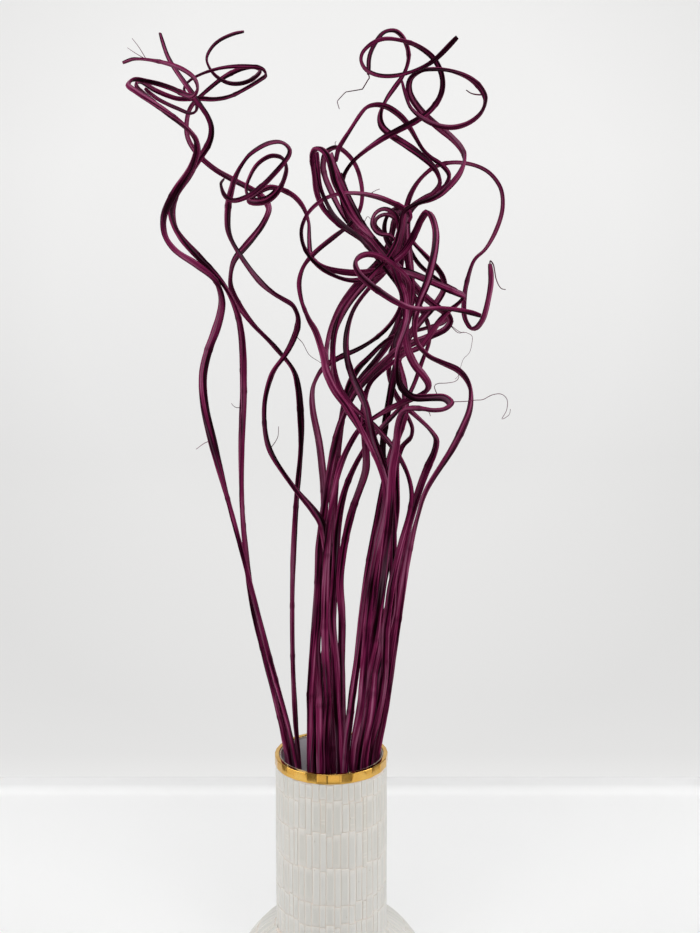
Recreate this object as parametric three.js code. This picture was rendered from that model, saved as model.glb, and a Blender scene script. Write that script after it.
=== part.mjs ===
import * as THREE from 'three';

// Driving dimensions, in millimetres. The origin is on the floor, on the vase's axis.
const RIM_HEIGHT = 268;
const NECK_RADIUS = 44.8;
const NECK_WALL = 4.4;
const BODY_RADIUS = 84;
const BODY_HALF_HEIGHT = 75.6;
const BODY_CENTRE_HEIGHT = 66;
const BODY_WALL = 5;
const FLOOR_THICKNESS = 8;
const BAND_HEIGHT = 7.6;
const BAND_PROUD = 0.5;
const BAND_LIP = 4.7;
const BAND_CHAMFER = 0.8;
const GAP = 0.3;
const TURNED_SIDES = 48;

const STEM_WIDTH = 6;
const STEM_THICKNESS = 4.2;
const TIP_WIDTH = 4.4;
const TIP_THICKNESS = 3;
const TAPER_START = 400;
const TAPER_END = 1250;
const CURL_REACH = 24;
const CURL_LENGTH = 150;
const CURL_START = 90;
const CURL_FULL = 300;
const FOOT_CENTRE_HEIGHT = FLOOR_THICKNESS + 2.2;
const FOOT_TURN = 52;

// Routes are read on the upright plane through the vase's axis, as seen from this point.
const VIEWPOINT = new THREE.Vector3(15, -674, 539);

// How the stems are sampled, and how their meshes' rings are spaced: a ring for each so many degrees
// of bend, and at least one for each so many millimetres.
const SAMPLE_STEP = 4;
const COURSE_SPREAD = 18;
const RING_TURN = 14;
const RING_SPACING = 44;
const RING_TWIST = 30;
const BEND_REACH = 3;
const TWIST_REACH = 6;
const TWIST_HOLD = 60;
const FIRST_TWIST_SPREAD = 70;
const FIRST_TWIST_STEP = 29;
const TWIST_MOST = 5;

// How stems that cross are pushed apart: the air left between them, the share of the push that goes
// sideways, how many samples it spreads over at first and how much of it is made in each round.
const STEM_CLEARANCE = 1.65;
const WALL_CLEARANCE = 1.2;
const SIDEWAYS_SHARE = 0.12;
const PUSH_SPREAD = 4;
const PUSH_GAIN = 0.75;
const SIGHT_SPREAD = 7;
const SAME_STEM_REACH = 5;
const SETTLE_CELL = 8;
const SETTLE_ROUNDS = 1000;

const DYED_STEM = new THREE.MeshStandardMaterial({ color: '#4a1033', roughness: 0.55, metalness: 0 });
const MOSAIC = new THREE.MeshStandardMaterial({ color: '#e9e7e4', roughness: 0.4, metalness: 0 });
const POLISHED_BRASS = new THREE.MeshStandardMaterial({ color: '#c9983f', roughness: 0.2, metalness: 1 });

// Each stem: name, how far it stands behind (+) or in front of (-) the axis plane at the rim, half way
// along and at its tip, which way round its curls turn, and its route from the rim to its tip as
// [across, up] points.
const STEMS = [
  {
    name: 'left_stem_1', depths: [-7, -28, -49], hand: 1,
    route: [[-31, 270], [-34.8, 290], [-43, 320], [-49.6, 350], [-55.5, 370], [-63.9, 402], [-70.6, 430],
      [-78.4, 460], [-86.3, 490], [-94.5, 524], [-99.9, 553], [-99.2, 575], [-93.4, 594.5], [-87.5, 610],
      [-84.7, 628], [-89.9, 642.4], [-104.6, 654.7], [-120.1, 665], [-127.8, 675.5], [-129.2, 690],
      [-121.4, 708], [-107, 729], [-103, 740], [-104, 751], [-112, 760], [-122, 767.5], [-136, 777],
      [-149, 785.5], [-155, 790.5], [-151.5, 794.3], [-140, 793], [-125, 789], [-113, 784], [-105.5, 782],
      [-101.8, 787], [-104, 795], [-114, 802.5], [-128, 807], [-142, 809.5], [-153, 809.3], [-159, 806.8]],
  },
  {
    name: 'left_stem_2', depths: [3, 4, 6], hand: 1,
    route: [[-35.8, 270], [-39.9, 290], [-47.6, 320], [-54.4, 350], [-60, 370], [-65.5, 410], [-69.9, 450],
      [-70.2, 490], [-68.6, 540], [-67.6, 575], [-71.1, 610], [-78.4, 631], [-88.4, 645.5],
      [-103.8, 662], [-118.5, 679], [-123.7, 694], [-118.2, 710], [-105.6, 728.5], [-99, 738], [-93, 748],
      [-91.5, 758], [-95, 768], [-101, 776.5], [-107, 785.5], [-114, 795], [-121.5, 806], [-126.5, 817],
      [-130, 829]],
  },
  {
    name: 'left_stem_3', depths: [12, 26, 40], hand: 1,
    route: [[-32.5, 270], [-37.2, 290], [-45.5, 320], [-52.5, 350], [-58.5, 372], [-65, 410], [-69, 450],
      [-70.8, 490], [-69.8, 540], [-68.6, 575], [-70.5, 606], [-76.5, 628], [-87, 644], [-101.8, 659.5],
      [-116.5, 675.5], [-122, 690], [-119.5, 707], [-108, 724], [-102.5, 737], [-103.5, 749], [-110, 757.5],
      [-120, 765], [-133, 775], [-144, 784], [-149.3, 790], [-147.2, 792.6], [-140, 787.8], [-130, 782.6],
      [-119, 778.8], [-105, 779.8], [-92, 779.4], [-78, 781.5], [-66, 787], [-55, 793.5], [-49.2, 798],
      [-52, 802.3], [-62, 804], [-75, 804], [-88, 802], [-101, 797.5], [-109.5, 792], [-112.2, 787],
      [-109, 782], [-103.5, 777.5], [-102.3, 772.5], [-105.5, 769.6], [-111, 771.3], [-120, 775.5],
      [-132, 781.5], [-142, 788]],
  },
  {
    name: 'left_stem_4', depths: [19, 42, 65], hand: -1,
    route: [[-27, 270], [-29, 300], [-30.7, 345], [-30.7, 402], [-29.2, 440], [-27.3, 470], [-24.1, 500],
      [-23.5, 525], [-24.5, 550], [-28.4, 571], [-36.8, 583], [-47.3, 595], [-61, 609], [-71.2, 623],
      [-77.9, 640], [-74.5, 658], [-63.2, 671.6], [-51.5, 687], [-47.8, 698], [-53.8, 707], [-69.2, 716],
      [-86.2, 725], [-100.1, 736], [-109.5, 750], [-110.3, 764], [-106, 775.5], [-96.5, 784.5],
      [-84, 794.5], [-71, 801.3], [-60, 803.8], [-53.6, 801.8], [-57, 796.5], [-66, 792], [-76, 791.3],
      [-85, 795], [-92, 802], [-94.6, 810.5], [-89, 820], [-78, 827], [-66, 830]],
  },
  {
    name: 'left_stem_5', depths: [6, -10, -27], hand: 1,
    route: [[-13.5, 270], [-11.5, 310], [-8, 360], [-5, 400], [-4.5, 430], [-9, 455], [-24, 474],
      [-37, 492], [-48.2, 511], [-52.3, 533.6], [-51, 553], [-44.8, 572], [-36.8, 583], [-29.6, 596],
      [-25.2, 612], [-30, 623.5], [-42.6, 631], [-58, 644.7], [-70.7, 662.4], [-79.4, 680], [-81, 697],
      [-78.5, 714], [-73, 725], [-65, 735.5], [-55, 743], [-44, 747.5], [-35.5, 746.3], [-31.2, 740.5],
      [-34.5, 734], [-44, 723], [-56, 711.5], [-67, 704], [-75, 703], [-79.8, 707.5], [-82.5, 719]],
  },
  {
    name: 'middle_stem_1', depths: [-14, 15, -45], hand: -1,
    route: [[-17, 270], [-15.3, 300], [-12.5, 340], [-9.7, 380], [-8.3, 412], [-6.8, 447], [-3.7, 477],
      [0.8, 500], [4, 520], [10, 538], [19, 556], [32, 569.5], [43, 579.5], [53, 588], [65, 594],
      [79, 599.5], [89, 604.5], [93, 610.5], [90, 616.5], [81, 622], [70, 631], [57, 644], [43, 657.5],
      [28, 671.5], [14, 680.5], [3, 688], [-6, 698], [-10.8, 710],
      [-12.2, 724], [-13.6, 736], [-12, 742.3], [-7, 742], [-2.5, 737.5], [0.6, 729], [3, 718.5],
      [8, 709], [12.5, 699], [17.5, 690], [24, 682], [32, 675]],
  },
  {
    name: 'middle_stem_2', depths: [-21, 18, -65], hand: 1,
    route: [[-9, 270], [-9.2, 300], [-8.6, 340], [-6.8, 385], [-5, 430], [-5.3, 465], [-6.5, 500],
      [-11, 525], [-14.7, 548], [-13.2, 562], [-6, 574.5], [6, 582.3], [20, 588.5], [34, 596.8],
      [46, 607.8], [54, 621], [55.5, 635], [48, 650], [36, 664], [23, 675.5], [11, 684], [2, 693],
      [-4.5, 704.5], [-8.7, 717], [-9.6, 730], [-10.6, 740]],
  },
  {
    name: 'middle_stem_3', depths: [-8, -25, -70], hand: 1,
    route: [[-4, 270], [-4.3, 300], [-5, 340], [-5, 390], [-3, 435], [0.6, 468], [5.5, 492], [13, 511],
      [23, 527.5], [34, 536], [46, 542.8], [60, 549], [71, 554], [76.5, 559.5], [74.5, 566], [67, 575],
      [61, 587], [58.6, 603], [57.6, 622], [55.5, 641], [47, 652], [36, 660.3], [26, 661.8], [19.4, 657],
      [21.5, 648.5], [31, 638.7], [45, 629.5], [58, 622.3], [73, 620], [90, 620.6], [104, 618.8],
      [117, 615]],
  },
  {
    name: 'middle_stem_4', depths: [-22, 20, -60], hand: -1,
    route: [[6.9, 270], [5, 300], [2.6, 340], [2, 380], [3.5, 420], [6.5, 458], [12, 482], [20, 500],
      [29, 515], [40, 528.5], [54, 541.5], [62.5, 555], [67, 567], [72.5, 583], [77, 597], [75.5, 609],
      [68, 624], [58, 638], [46, 651.5], [33, 666], [21.5, 679.5], [12.6, 694], [8.6, 708], [10.3, 722],
      [18, 733.5], [30, 743.5], [46, 753], [62, 761.2], [75, 769.7], [83.5, 780.5], [86, 793],
      [80.5, 808], [68, 818.5], [52, 824], [38, 824], [27, 817.5], [23.3, 810], [27, 802], [37, 797.5],
      [51, 797.5], [66, 801.5], [79, 808.5], [90, 818.5], [97, 826]],
  },
  {
    name: 'middle_stem_5', depths: [-5, -24, 27], hand: 1,
    route: [[9.5, 270], [8.8, 300], [8, 340], [7, 380], [6.6, 410], [9.8, 432], [15.7, 459], [22.6, 479],
      [27.6, 496], [27.4, 514], [26.4, 532], [26.8, 550], [31, 563], [42, 573.5], [57, 585.3],
      [70, 591.5], [80, 605], [90, 617], [101, 626.3], [103.3, 630], [95, 634], [80, 640.5], [66, 647],
      [52, 651.5], [37, 650.3], [21, 648.3], [5, 649.5], [-8, 653.8], [-15.5, 662.5], [-16.6, 675],
      [-17.2, 688], [-22, 699.5], [-30, 707.8], [-38, 711.4], [-46, 713.2], [-53, 711], [-61, 706],
      [-63.8, 703], [-58.5, 701.2], [-49, 702.8], [-41, 709.5], [-36, 719], [-34, 728], [-37, 735.3],
      [-46, 737], [-56, 731], [-62.5, 721], [-65.2, 711], [-62.3, 705.3], [-55, 704.3], [-48, 706.7],
      [-41.5, 712.5]],
  },
  {
    name: 'middle_stem_6', depths: [5, 24, 10], hand: 1,
    route: [[-7, 270], [-5.5, 300], [-3.5, 340], [-1.5, 380], [0, 420], [2, 460], [4, 490], [7, 520],
      [11, 541], [17.5, 561], [30, 578], [44, 592.5], [54, 608.5], [57.5, 626], [55, 645], [56, 662],
      [55, 679], [50.5, 692], [41.5, 695.6], [34.5, 691.5], [32.6, 684], [37.5, 677.7], [46, 676.5],
      [50, 672]],
  },
  {
    name: 'middle_stem_7', depths: [12, 32, 5], hand: -1,
    route: [[1.5, 270], [0.5, 300], [-0.3, 340], [-1, 380], [-1.6, 420], [-0.6, 455], [1, 485], [4, 512],
      [9, 537], [13.5, 556], [22, 571], [34, 583.5], [46, 596.5], [58, 601.5], [72, 605], [84, 608.5],
      [90.5, 612.5], [88, 618], [78, 625.5], [66, 636.5], [52, 652], [38, 668], [28, 680],
      [20.5, 692], [14.5, 703.5], [11, 714], [8, 724]],
  },
  {
    name: 'right_stem_1', depths: [-28, 8, -20], hand: 1,
    route: [[12, 270], [16.1, 300], [20.8, 340], [25, 380], [29, 415], [34.5, 447], [39.5, 475],
      [44, 498], [51, 518], [57.3, 538], [57.5, 557], [53.5, 577], [50.5, 592], [55, 606], [62, 624],
      [63.5, 642], [61.3, 660], [59.3, 678], [59.8, 693], [67, 702], [79, 708.5], [89, 715.5],
      [91.3, 723], [84.5, 731], [74, 738.5], [65.5, 750], [58.5, 762], [49, 770.7], [38, 775.5],
      [27, 773], [18, 760], [10, 749.3], [5, 740], [3.2, 733]],
  },
  {
    name: 'right_stem_2', depths: [-19, -48, 45], hand: -1,
    route: [[17.5, 270], [22, 300], [26.5, 340], [30.5, 380], [34, 415], [39.5, 447], [43.6, 475],
      [40.5, 491], [33, 508], [24.5, 525], [14, 542], [4.5, 556], [-1.5, 571], [-4.2, 585], [-9, 599],
      [-17.5, 613], [-23.3, 629], [-24.3, 643], [-19.5, 655.5], [-9, 666.5], [3, 676], [15, 685],
      [22.5, 696], [24.4, 710], [21, 726], [13.5, 738], [4.5, 743.4], [-3, 740], [-5.7, 731],
      [-4, 720.5], [0.5, 710], [6, 700], [11, 690], [17, 682.5], [24, 676], [32, 669.5]],
  },
  {
    name: 'right_stem_3', depths: [-10, -58, -19], hand: -1,
    route: [[22, 270], [27, 300], [32, 340], [36.5, 380], [40.5, 415], [44.7, 450], [47, 478],
      [49, 500], [52, 518], [53.5, 533], [58.5, 542], [68, 543.2], [80, 541.6], [90, 543],
      [94, 547], [88, 551.5], [76, 551.5], [64, 552], [55, 560], [51.5, 573], [52.5, 588],
      [57, 602], [61, 616], [58.5, 633], [49, 649.5], [37, 664.5], [27, 679.5], [19.5, 694],
      [12.5, 708.5], [6.5, 721], [2.8, 730], [1, 738.5]],
  },
  {
    name: 'right_stem_4', depths: [-22, 14, 15], hand: 1,
    route: [[27.5, 270], [32, 300], [36.5, 340], [41, 380], [45.5, 415], [50, 450], [51.6, 478],
      [51.2, 498], [56, 513], [63, 521], [63.6, 529.5], [57, 542], [50, 555], [46, 570], [46.5, 585],
      [52, 599], [58.5, 613], [61.5, 630], [60.5, 648], [58.3, 666], [58, 684], [54.5, 696.5],
      [46.5, 695.2], [41.4, 687], [41.8, 676], [46, 668.5], [52.5, 662]],
  },
  {
    name: 'right_stem_5', depths: [2, -43, -32], hand: -1,
    route: [[36.2, 270], [42.6, 300], [48.2, 340], [53.8, 380], [59.5, 418], [66.5, 449], [73.5, 475],
      [84, 493], [96, 512.5], [104.5, 530], [109.5, 546], [108.5, 561], [101, 571.8], [89, 578],
      [77, 583.5], [67.5, 593], [64, 608], [68.5, 626], [75.5, 643], [79.7, 660], [81.6, 676],
      [79.5, 688], [75, 694.5], [70.5, 689.5], [65.5, 679], [57.5, 664], [47, 653.5], [35, 646],
      [20, 642], [5, 645], [-9, 652.8], [-19, 664.5], [-22.8, 679], [-18.5, 692], [-8.5, 702.2],
      [5, 708], [20, 708.8], [35, 706.3], [49, 701], [59, 695.5], [62, 691], [60, 686.5]],
  },
  {
    name: 'right_stem_6', depths: [-13, -38, -42], hand: -1,
    route: [[31.5, 270], [36.5, 300], [40.6, 340], [45, 380], [49.5, 412], [55, 434], [60.5, 455],
      [63.8, 472], [61.5, 488], [53, 506], [41, 521.5], [28, 534.5], [14.5, 547], [5, 561], [0.5, 576],
      [0, 592], [4.5, 609], [13.5, 625.5], [26, 640], [39, 653], [48.5, 667], [53.5, 682], [57, 695],
      [67, 700.8], [81, 705.5], [93, 715.5], [101.5, 727.5], [103, 738], [95.5, 748.5], [82, 759.5],
      [69, 771.5], [60.5, 785], [61.5, 795], [70, 801], [84, 802], [99, 799], [112, 791.3],
      [118.8, 780.5], [116, 770], [106, 761.8], [94, 758.5], [82, 760], [70, 765.5], [60.5, 775],
      [57.3, 784], [54.8, 793.5]],
  },
  {
    name: 'right_stem_7', depths: [6, 12, 0], hand: 1,
    route: [[34.5, 270], [38.5, 300], [44.3, 340], [49.3, 380], [53.5, 410], [58.5, 436], [64, 460],
      [70.5, 482], [77, 499], [82, 511], [82.5, 520], [74, 530.5], [63, 540.5], [53, 550.5], [47, 563.5],
      [45.5, 577], [49.5, 590.5], [57, 603.5], [62.5, 618], [63, 636], [60.5, 655], [58.3, 673],
      [58.2, 690], [61.5, 706], [69, 719], [80, 728.5], [94, 732], [109, 730.5], [122, 724.5],
      [131, 713], [133, 699], [129, 683], [120.5, 667], [111.5, 658], [106.5, 644], [103.8, 627],
      [104.8, 612], [111, 604.6], [118, 611.5], [122.3, 627], [124.6, 642], [123.6, 655]],
  },
  {
    name: 'right_stem_8', depths: [1, -28.5, -4], hand: 1,
    route: [[26, 270], [30, 300], [34, 340], [38, 380], [41.5, 415], [45, 450], [47, 472], [44, 491],
      [37.5, 508], [31.5, 524], [28.5, 540], [23.5, 555], [16.5, 569], [12.5, 584], [12.2, 600],
      [17, 618], [27, 633], [40, 646.5], [50, 660], [55, 676], [58, 693], [67, 702.5], [79, 709],
      [84.3, 716.5], [81, 726.5], [70, 737], [57, 746.3], [45, 754], [38.3, 762], [39, 772],
      [47, 785.5], [55, 796.5], [59.8, 809], [57.5, 822], [50, 830.5], [41, 829.5], [34, 821],
      [29.8, 811], [29.3, 798]],
  },
  {
    name: 'right_stem_9', depths: [12, -20, 40], hand: -1,
    route: [[19, 270], [23.5, 300], [29, 340], [34, 380], [38.5, 415], [43, 448], [45.5, 470],
      [43.5, 489], [36.5, 505], [26.5, 521.5], [15.5, 537], [6.5, 552], [0, 567], [-3.2, 582],
      [-1.8, 598], [5, 616.5], [16, 634], [29, 647.5], [40.5, 661], [46.8, 675], [49.5, 689],
      [55.5, 695.5], [58.4, 687.5], [58.8, 675], [63.5, 662], [72, 651], [84, 642.3], [96, 635.5],
      [102.8, 630.3]],
  },
  {
    name: 'right_stem_10', depths: [-4, 4, 20], hand: -1,
    route: [[30, 270], [34.5, 300], [39, 340], [43, 380], [46.5, 415], [49, 450], [47.5, 475],
      [43.5, 492], [41, 507], [41.5, 521], [44, 536], [46.3, 550], [48, 562], [50, 575], [55, 590],
      [63, 603.5], [73, 615], [82.5, 625.5], [88.3, 637], [86.5, 646], [78, 656.5], [67, 667], [59.5, 678],
      [53, 687.5], [45, 693.3], [37.5, 691.5], [35.5, 685.5], [40, 680.5]],
  },
  {
    name: 'right_stem_11', depths: [18, 26, 34], hand: 1,
    route: [[25, 270], [29, 300], [33.5, 340], [38, 380], [42, 415], [46, 448], [48.2, 472], [45.5, 490],
      [39, 506], [31, 521], [21, 536], [11, 550], [4, 564], [1, 578], [1.5, 593], [6, 609],
      [14, 623.5], [24, 636], [36, 647.5], [47.5, 657], [54, 668], [54, 679], [51.5, 689], [53, 697]],
  },
];

// The radius of the vase's hollow at a height, so that stems can be kept inside it.
function hollowRadius(height) {
  const neck = NECK_RADIUS - NECK_WALL;
  const across = BODY_RADIUS - BODY_WALL;
  const upright = BODY_HALF_HEIGHT - BODY_WALL;
  const rise = (height - BODY_CENTRE_HEIGHT) / upright;
  const body = Math.abs(rise) < 1 ? across * Math.sqrt(1 - rise * rise) : 0;
  return height > BODY_CENTRE_HEIGHT ? Math.max(neck, body) : body;
}

// A point of the axis plane, moved along its line of sight until it lies at the given depth.
function onSightLine(across, up, depth) {
  const stretch = (depth - VIEWPOINT.y) / -VIEWPOINT.y;
  return new THREE.Vector3(across, 0, up).sub(VIEWPOINT).multiplyScalar(stretch).add(VIEWPOINT);
}

function smoothed(values, reach) {
  return values.map((value, i) => {
    const half = Math.min(reach, i, values.length - 1 - i);
    let total = 0;
    for (let j = i - half; j <= i + half; j += 1) total += values[j];
    return total / (2 * half + 1);
  });
}

// A curl swings to and fro a quarter turn ahead of its sideways swing, so its depth follows from how
// far its heading departs from the stem's mean heading. A loop seen face on moves along steadily.
function depthsAlong(points, stem) {
  const headings = points.map((point, i) => {
    const before = points[Math.max(i - 1, 0)];
    const after = points[Math.min(i + 1, points.length - 1)];
    return Math.atan2(after.x - before.x, after.z - before.z);
  });
  for (let i = 1; i < headings.length; i += 1) {
    while (headings[i] - headings[i - 1] > Math.PI) headings[i] -= 2 * Math.PI;
    while (headings[i] - headings[i - 1] < -Math.PI) headings[i] += 2 * Math.PI;
  }
  const mean = smoothed(headings, Math.round(CURL_LENGTH / 2 / SAMPLE_STEP));
  const swing = headings.map((heading, i) => {
    const height = points[i].z - RIM_HEIGHT;
    const onset = THREE.MathUtils.smoothstep(height, CURL_START, CURL_FULL);
    return stem.hand * CURL_REACH * onset * Math.sin(heading - mean[i]);
  });
  const [rim, middle, tip] = stem.depths;
  const course = points.map((_, i) => {
    const along = (2 * i) / (points.length - 1);
    return rim + (middle - rim) * Math.min(along, 1) + (tip - middle) * Math.max(along - 1, 0);
  });
  const rounded = smoothed(smoothed(swing, 5), 4);
  return smoothed(course, COURSE_SPREAD).map((depth, i) => depth + rounded[i]);
}

// Below the rim a stem bends gently and stands on the vase's floor, turned round the axis from where
// it leaves the neck, as stems in a full vase cross over each other.
function standInVase(rimPoint, rimDirection) {
  const foot = new THREE.Vector3(rimPoint.x, rimPoint.y, 0);
  foot.applyAxisAngle(new THREE.Vector3(0, 0, 1), THREE.MathUtils.degToRad(FOOT_TURN));
  foot.z = FOOT_CENTRE_HEIGHT;
  const drop = rimPoint.z - foot.z;
  const start = rimDirection.clone().multiplyScalar(-drop / Math.max(rimDirection.z, 0.5));
  start.x *= 0.5;
  start.y *= 0.5;
  const chord = foot.clone().sub(rimPoint);
  const points = [];
  const count = Math.round(chord.length() / SAMPLE_STEP);
  for (let i = 0; i < count; i += 1) {
    const t = 1 - i / count;
    const h1 = 2 * t ** 3 - 3 * t ** 2 + 1;
    const h2 = t ** 3 - 2 * t ** 2 + t;
    const h3 = 3 * t ** 2 - 2 * t ** 3;
    const h4 = t ** 3 - t ** 2;
    points.push(new THREE.Vector3()
      .addScaledVector(rimPoint, h1)
      .addScaledVector(start, h2)
      .addScaledVector(foot, h3)
      .addScaledVector(chord, h4));
  }
  return points;
}

function samplesOf(stem) {
  const knots = stem.route.map(([across, up]) => new THREE.Vector3(across, 0, up));
  const flat = new THREE.CatmullRomCurve3(knots, false, 'centripetal');
  flat.arcLengthDivisions = 2000;
  const spaced = flat.getSpacedPoints(Math.round(flat.getLength() / SAMPLE_STEP));
  const depths = depthsAlong(spaced, stem);
  const free = spaced.map((point, i) => onSightLine(point.x, point.z, depths[i]));
  const direction = free[3].clone().sub(free[0]).normalize();
  return [...standInVase(free[0], direction), ...free];
}

function sizeAt(sample) {
  const taper = THREE.MathUtils.smoothstep(sample * SAMPLE_STEP, TAPER_START, TAPER_END);
  return {
    width: THREE.MathUtils.lerp(STEM_WIDTH, TIP_WIDTH, taper),
    thickness: THREE.MathUtils.lerp(STEM_THICKNESS, TIP_THICKNESS, taper),
  };
}

// Where a sample lies along the line of sight, averaged over its neighbours on the stem.
function sightDepths(points) {
  return smoothed(points.map((point) => point.distanceTo(VIEWPOINT)), SIGHT_SPREAD);
}

function cellKey(point, dx = 0, dy = 0, dz = 0) {
  const [x, y, z] = point.toArray().map((value) => Math.floor(value / SETTLE_CELL));
  return `${x + dx},${y + dy},${z + dz}`;
}

function nearbyPairs(strands) {
  const grid = new Map();
  strands.forEach((points, s) => points.forEach((point, i) => {
    const key = cellKey(point);
    if (!grid.has(key)) grid.set(key, []);
    grid.get(key).push([s, i]);
  }));
  const pairs = [];
  const around = [-1, 0, 1];
  strands.forEach((points, s) => points.forEach((point, i) => {
    for (const dx of around) {
      for (const dy of around) {
        for (const dz of around) {
          for (const [t, j] of grid.get(cellKey(point, dx, dy, dz)) ?? []) {
            if (t > s || (t === s && j >= i + SAME_STEM_REACH)) pairs.push([s, i, t, j]);
          }
        }
      }
    }
  }));
  return pairs;
}

// The push that parts two samples, halved between them: mostly along the line of sight above the rim,
// so that the view from the front stays, and level inside the vase.
function partingPush(point, other, need, isBehind) {
  const apart = point.clone().sub(other);
  const distance = apart.length();
  if (distance < 1e-6) apart.set(1, 0, 0);
  if (point.z < RIM_HEIGHT) {
    apart.z = 0;
    return apart.normalize().multiplyScalar((need - distance) / 2);
  }
  const sight = point.clone().add(other).multiplyScalar(0.5).sub(VIEWPOINT).normalize();
  const ahead = apart.dot(sight);
  const beside = apart.clone().addScaledVector(sight, -ahead);
  const wanted = Math.sqrt(Math.max(need * need - beside.lengthSq(), 0));
  const back = (isBehind ? wanted : -wanted) - ahead;
  return sight.multiplyScalar(back / 2)
    .addScaledVector(beside.normalize(), SIDEWAYS_SHARE * (need - distance));
}

// Pushes stems that come too close apart, a little at a time and spread along each stem.
function settle(strands) {
  const halfWidths = strands.map(
    (points) => points.map((_, i) => sizeAt(i).width / 2),
  );
  let pairs = [];
  for (let round = 0; round < SETTLE_ROUNDS; round += 1) {
    const spread = PUSH_SPREAD - Math.floor((PUSH_SPREAD * round) / SETTLE_ROUNDS);
    if (round % 4 === 0) pairs = nearbyPairs(strands);
    const depths = strands.map(sightDepths);
    const pushes = strands.map((points) => points.map(() => new THREE.Vector3()));
    let touching = 0;
    for (const [s, i, t, j] of pairs) {
      const point = strands[s][i];
      const other = strands[t][j];
      const need = halfWidths[s][i] + halfWidths[t][j] + STEM_CLEARANCE;
      if (point.distanceToSquared(other) < need * need) {
        touching += 1;
        const push = partingPush(point, other, need, depths[s][i] > depths[t][j]);
        pushes[s][i].add(push);
        pushes[t][j].sub(push);
      }
    }
    strands.forEach((points, s) => {
      for (const axis of ['x', 'y', 'z']) {
        const amounts = pushes[s].map((push) => push[axis] * PUSH_GAIN);
        smoothed(smoothed(amounts, spread), spread).forEach((amount, i) => {
          points[i][axis] += amount;
        });
      }
      points.filter((point) => point.z < RIM_HEIGHT).forEach((point) => {
        const limit = hollowRadius(point.z) - STEM_WIDTH / 2 - WALL_CLEARANCE;
        const scale = Math.min(1, limit / Math.hypot(point.x, point.y));
        point.x *= scale;
        point.y *= scale;
      });
    });
    if (touching === 0) break;
  }
  return strands;
}

function headingAt(points, i) {
  const before = points[Math.max(i - 1, 0)];
  const after = points[Math.min(i + 1, points.length - 1)];
  return after.clone().sub(before).normalize();
}

// Keeps the samples where a strand bends, and few of them where it runs straight.
function ringIndices(points, broad) {
  const indices = [0];
  let turned = 0;
  let twisted = 0;
  let run = 0;
  for (let i = 1; i < points.length - 1; i += 1) {
    const before = points[i].clone().sub(points[i - 1]).normalize();
    const after = points[i + 1].clone().sub(points[i]).normalize();
    turned += before.angleTo(after);
    twisted += broad[i].angleTo(broad[i - 1]);
    run += points[i].distanceTo(points[i - 1]);
    const full = turned > THREE.MathUtils.degToRad(RING_TURN)
      || twisted > THREE.MathUtils.degToRad(RING_TWIST)
      || run > RING_SPACING;
    if (full) {
      indices.push(i);
      turned = 0;
      twisted = 0;
      run = 0;
    }
  }
  indices.push(points.length - 1);
  return indices;
}

// The strip's broad face lies on the curl it was wound in: its width is along the curl's axis, and it
// turns slowly from one curl's axis to the next, by no more than TWIST_MOST degrees a sample.
function broadDirections(points, firstTwist) {
  const bends = points.map((point, i) => {
    const before = points[Math.max(i - BEND_REACH, 0)];
    const after = points[Math.min(i + BEND_REACH, points.length - 1)];
    return point.clone().sub(before).cross(after.clone().sub(point));
  });
  const directions = [];
  let last = new THREE.Vector3(Math.cos(firstTwist), Math.sin(firstTwist), 0);
  points.forEach((point, i) => {
    const sum = last.clone().multiplyScalar(TWIST_HOLD);
    const end = Math.min(i + TWIST_REACH, points.length - 1);
    for (let j = Math.max(i - TWIST_REACH, 0); j <= end; j += 1) {
      const bend = bends[j].clone();
      if (bend.dot(last) < 0) bend.negate();
      sum.add(bend);
    }
    const along = headingAt(points, i);
    sum.addScaledVector(along, -sum.dot(along)).normalize();
    const held = last.clone().addScaledVector(along, -last.dot(along)).normalize();
    const share = THREE.MathUtils.degToRad(TWIST_MOST) / Math.max(held.angleTo(sum), 1e-6);
    if (share < 1) sum.lerpVectors(held, sum, share).normalize();
    last = sum;
    directions.push(sum);
  });
  return directions;
}

function stripGeometry(points, firstTwist) {
  const broad = broadDirections(points, firstTwist);
  const rings = ringIndices(points, broad);
  const positions = [];
  rings.forEach((i) => {
    const along = headingAt(points, i);
    const thin = new THREE.Vector3().crossVectors(along, broad[i]);
    const { width, thickness } = sizeAt(i);
    for (const [side, face] of [[1, 1], [-1, 1], [-1, -1], [1, -1]]) {
      const corner = points[i].clone()
        .addScaledVector(broad[i], side * width / 2)
        .addScaledVector(thin, face * thickness / 2);
      positions.push(corner.x, corner.y, corner.z);
    }
  });
  const faces = [];
  for (let r = 0; r < rings.length - 1; r += 1) {
    for (let k = 0; k < 4; k += 1) {
      const a = 4 * r + k;
      const b = 4 * r + (k + 1) % 4;
      faces.push(a, b, b + 4, a, b + 4, a + 4);
    }
  }
  const top = 4 * (rings.length - 1);
  faces.push(0, 2, 1, 0, 3, 2, top, top + 1, top + 2, top, top + 2, top + 3);
  const geometry = new THREE.BufferGeometry();
  geometry.setAttribute('position', new THREE.Float32BufferAttribute(positions, 3));
  geometry.setIndex(faces);
  return geometry;
}

function turnedMesh(name, outline, material) {
  const profile = outline.map(([radius, height]) => new THREE.Vector2(radius, height));
  const geometry = new THREE.LatheGeometry(profile, TURNED_SIDES);
  geometry.rotateX(Math.PI / 2);
  const mesh = new THREE.Mesh(geometry, material);
  mesh.name = name;
  return mesh;
}

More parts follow.
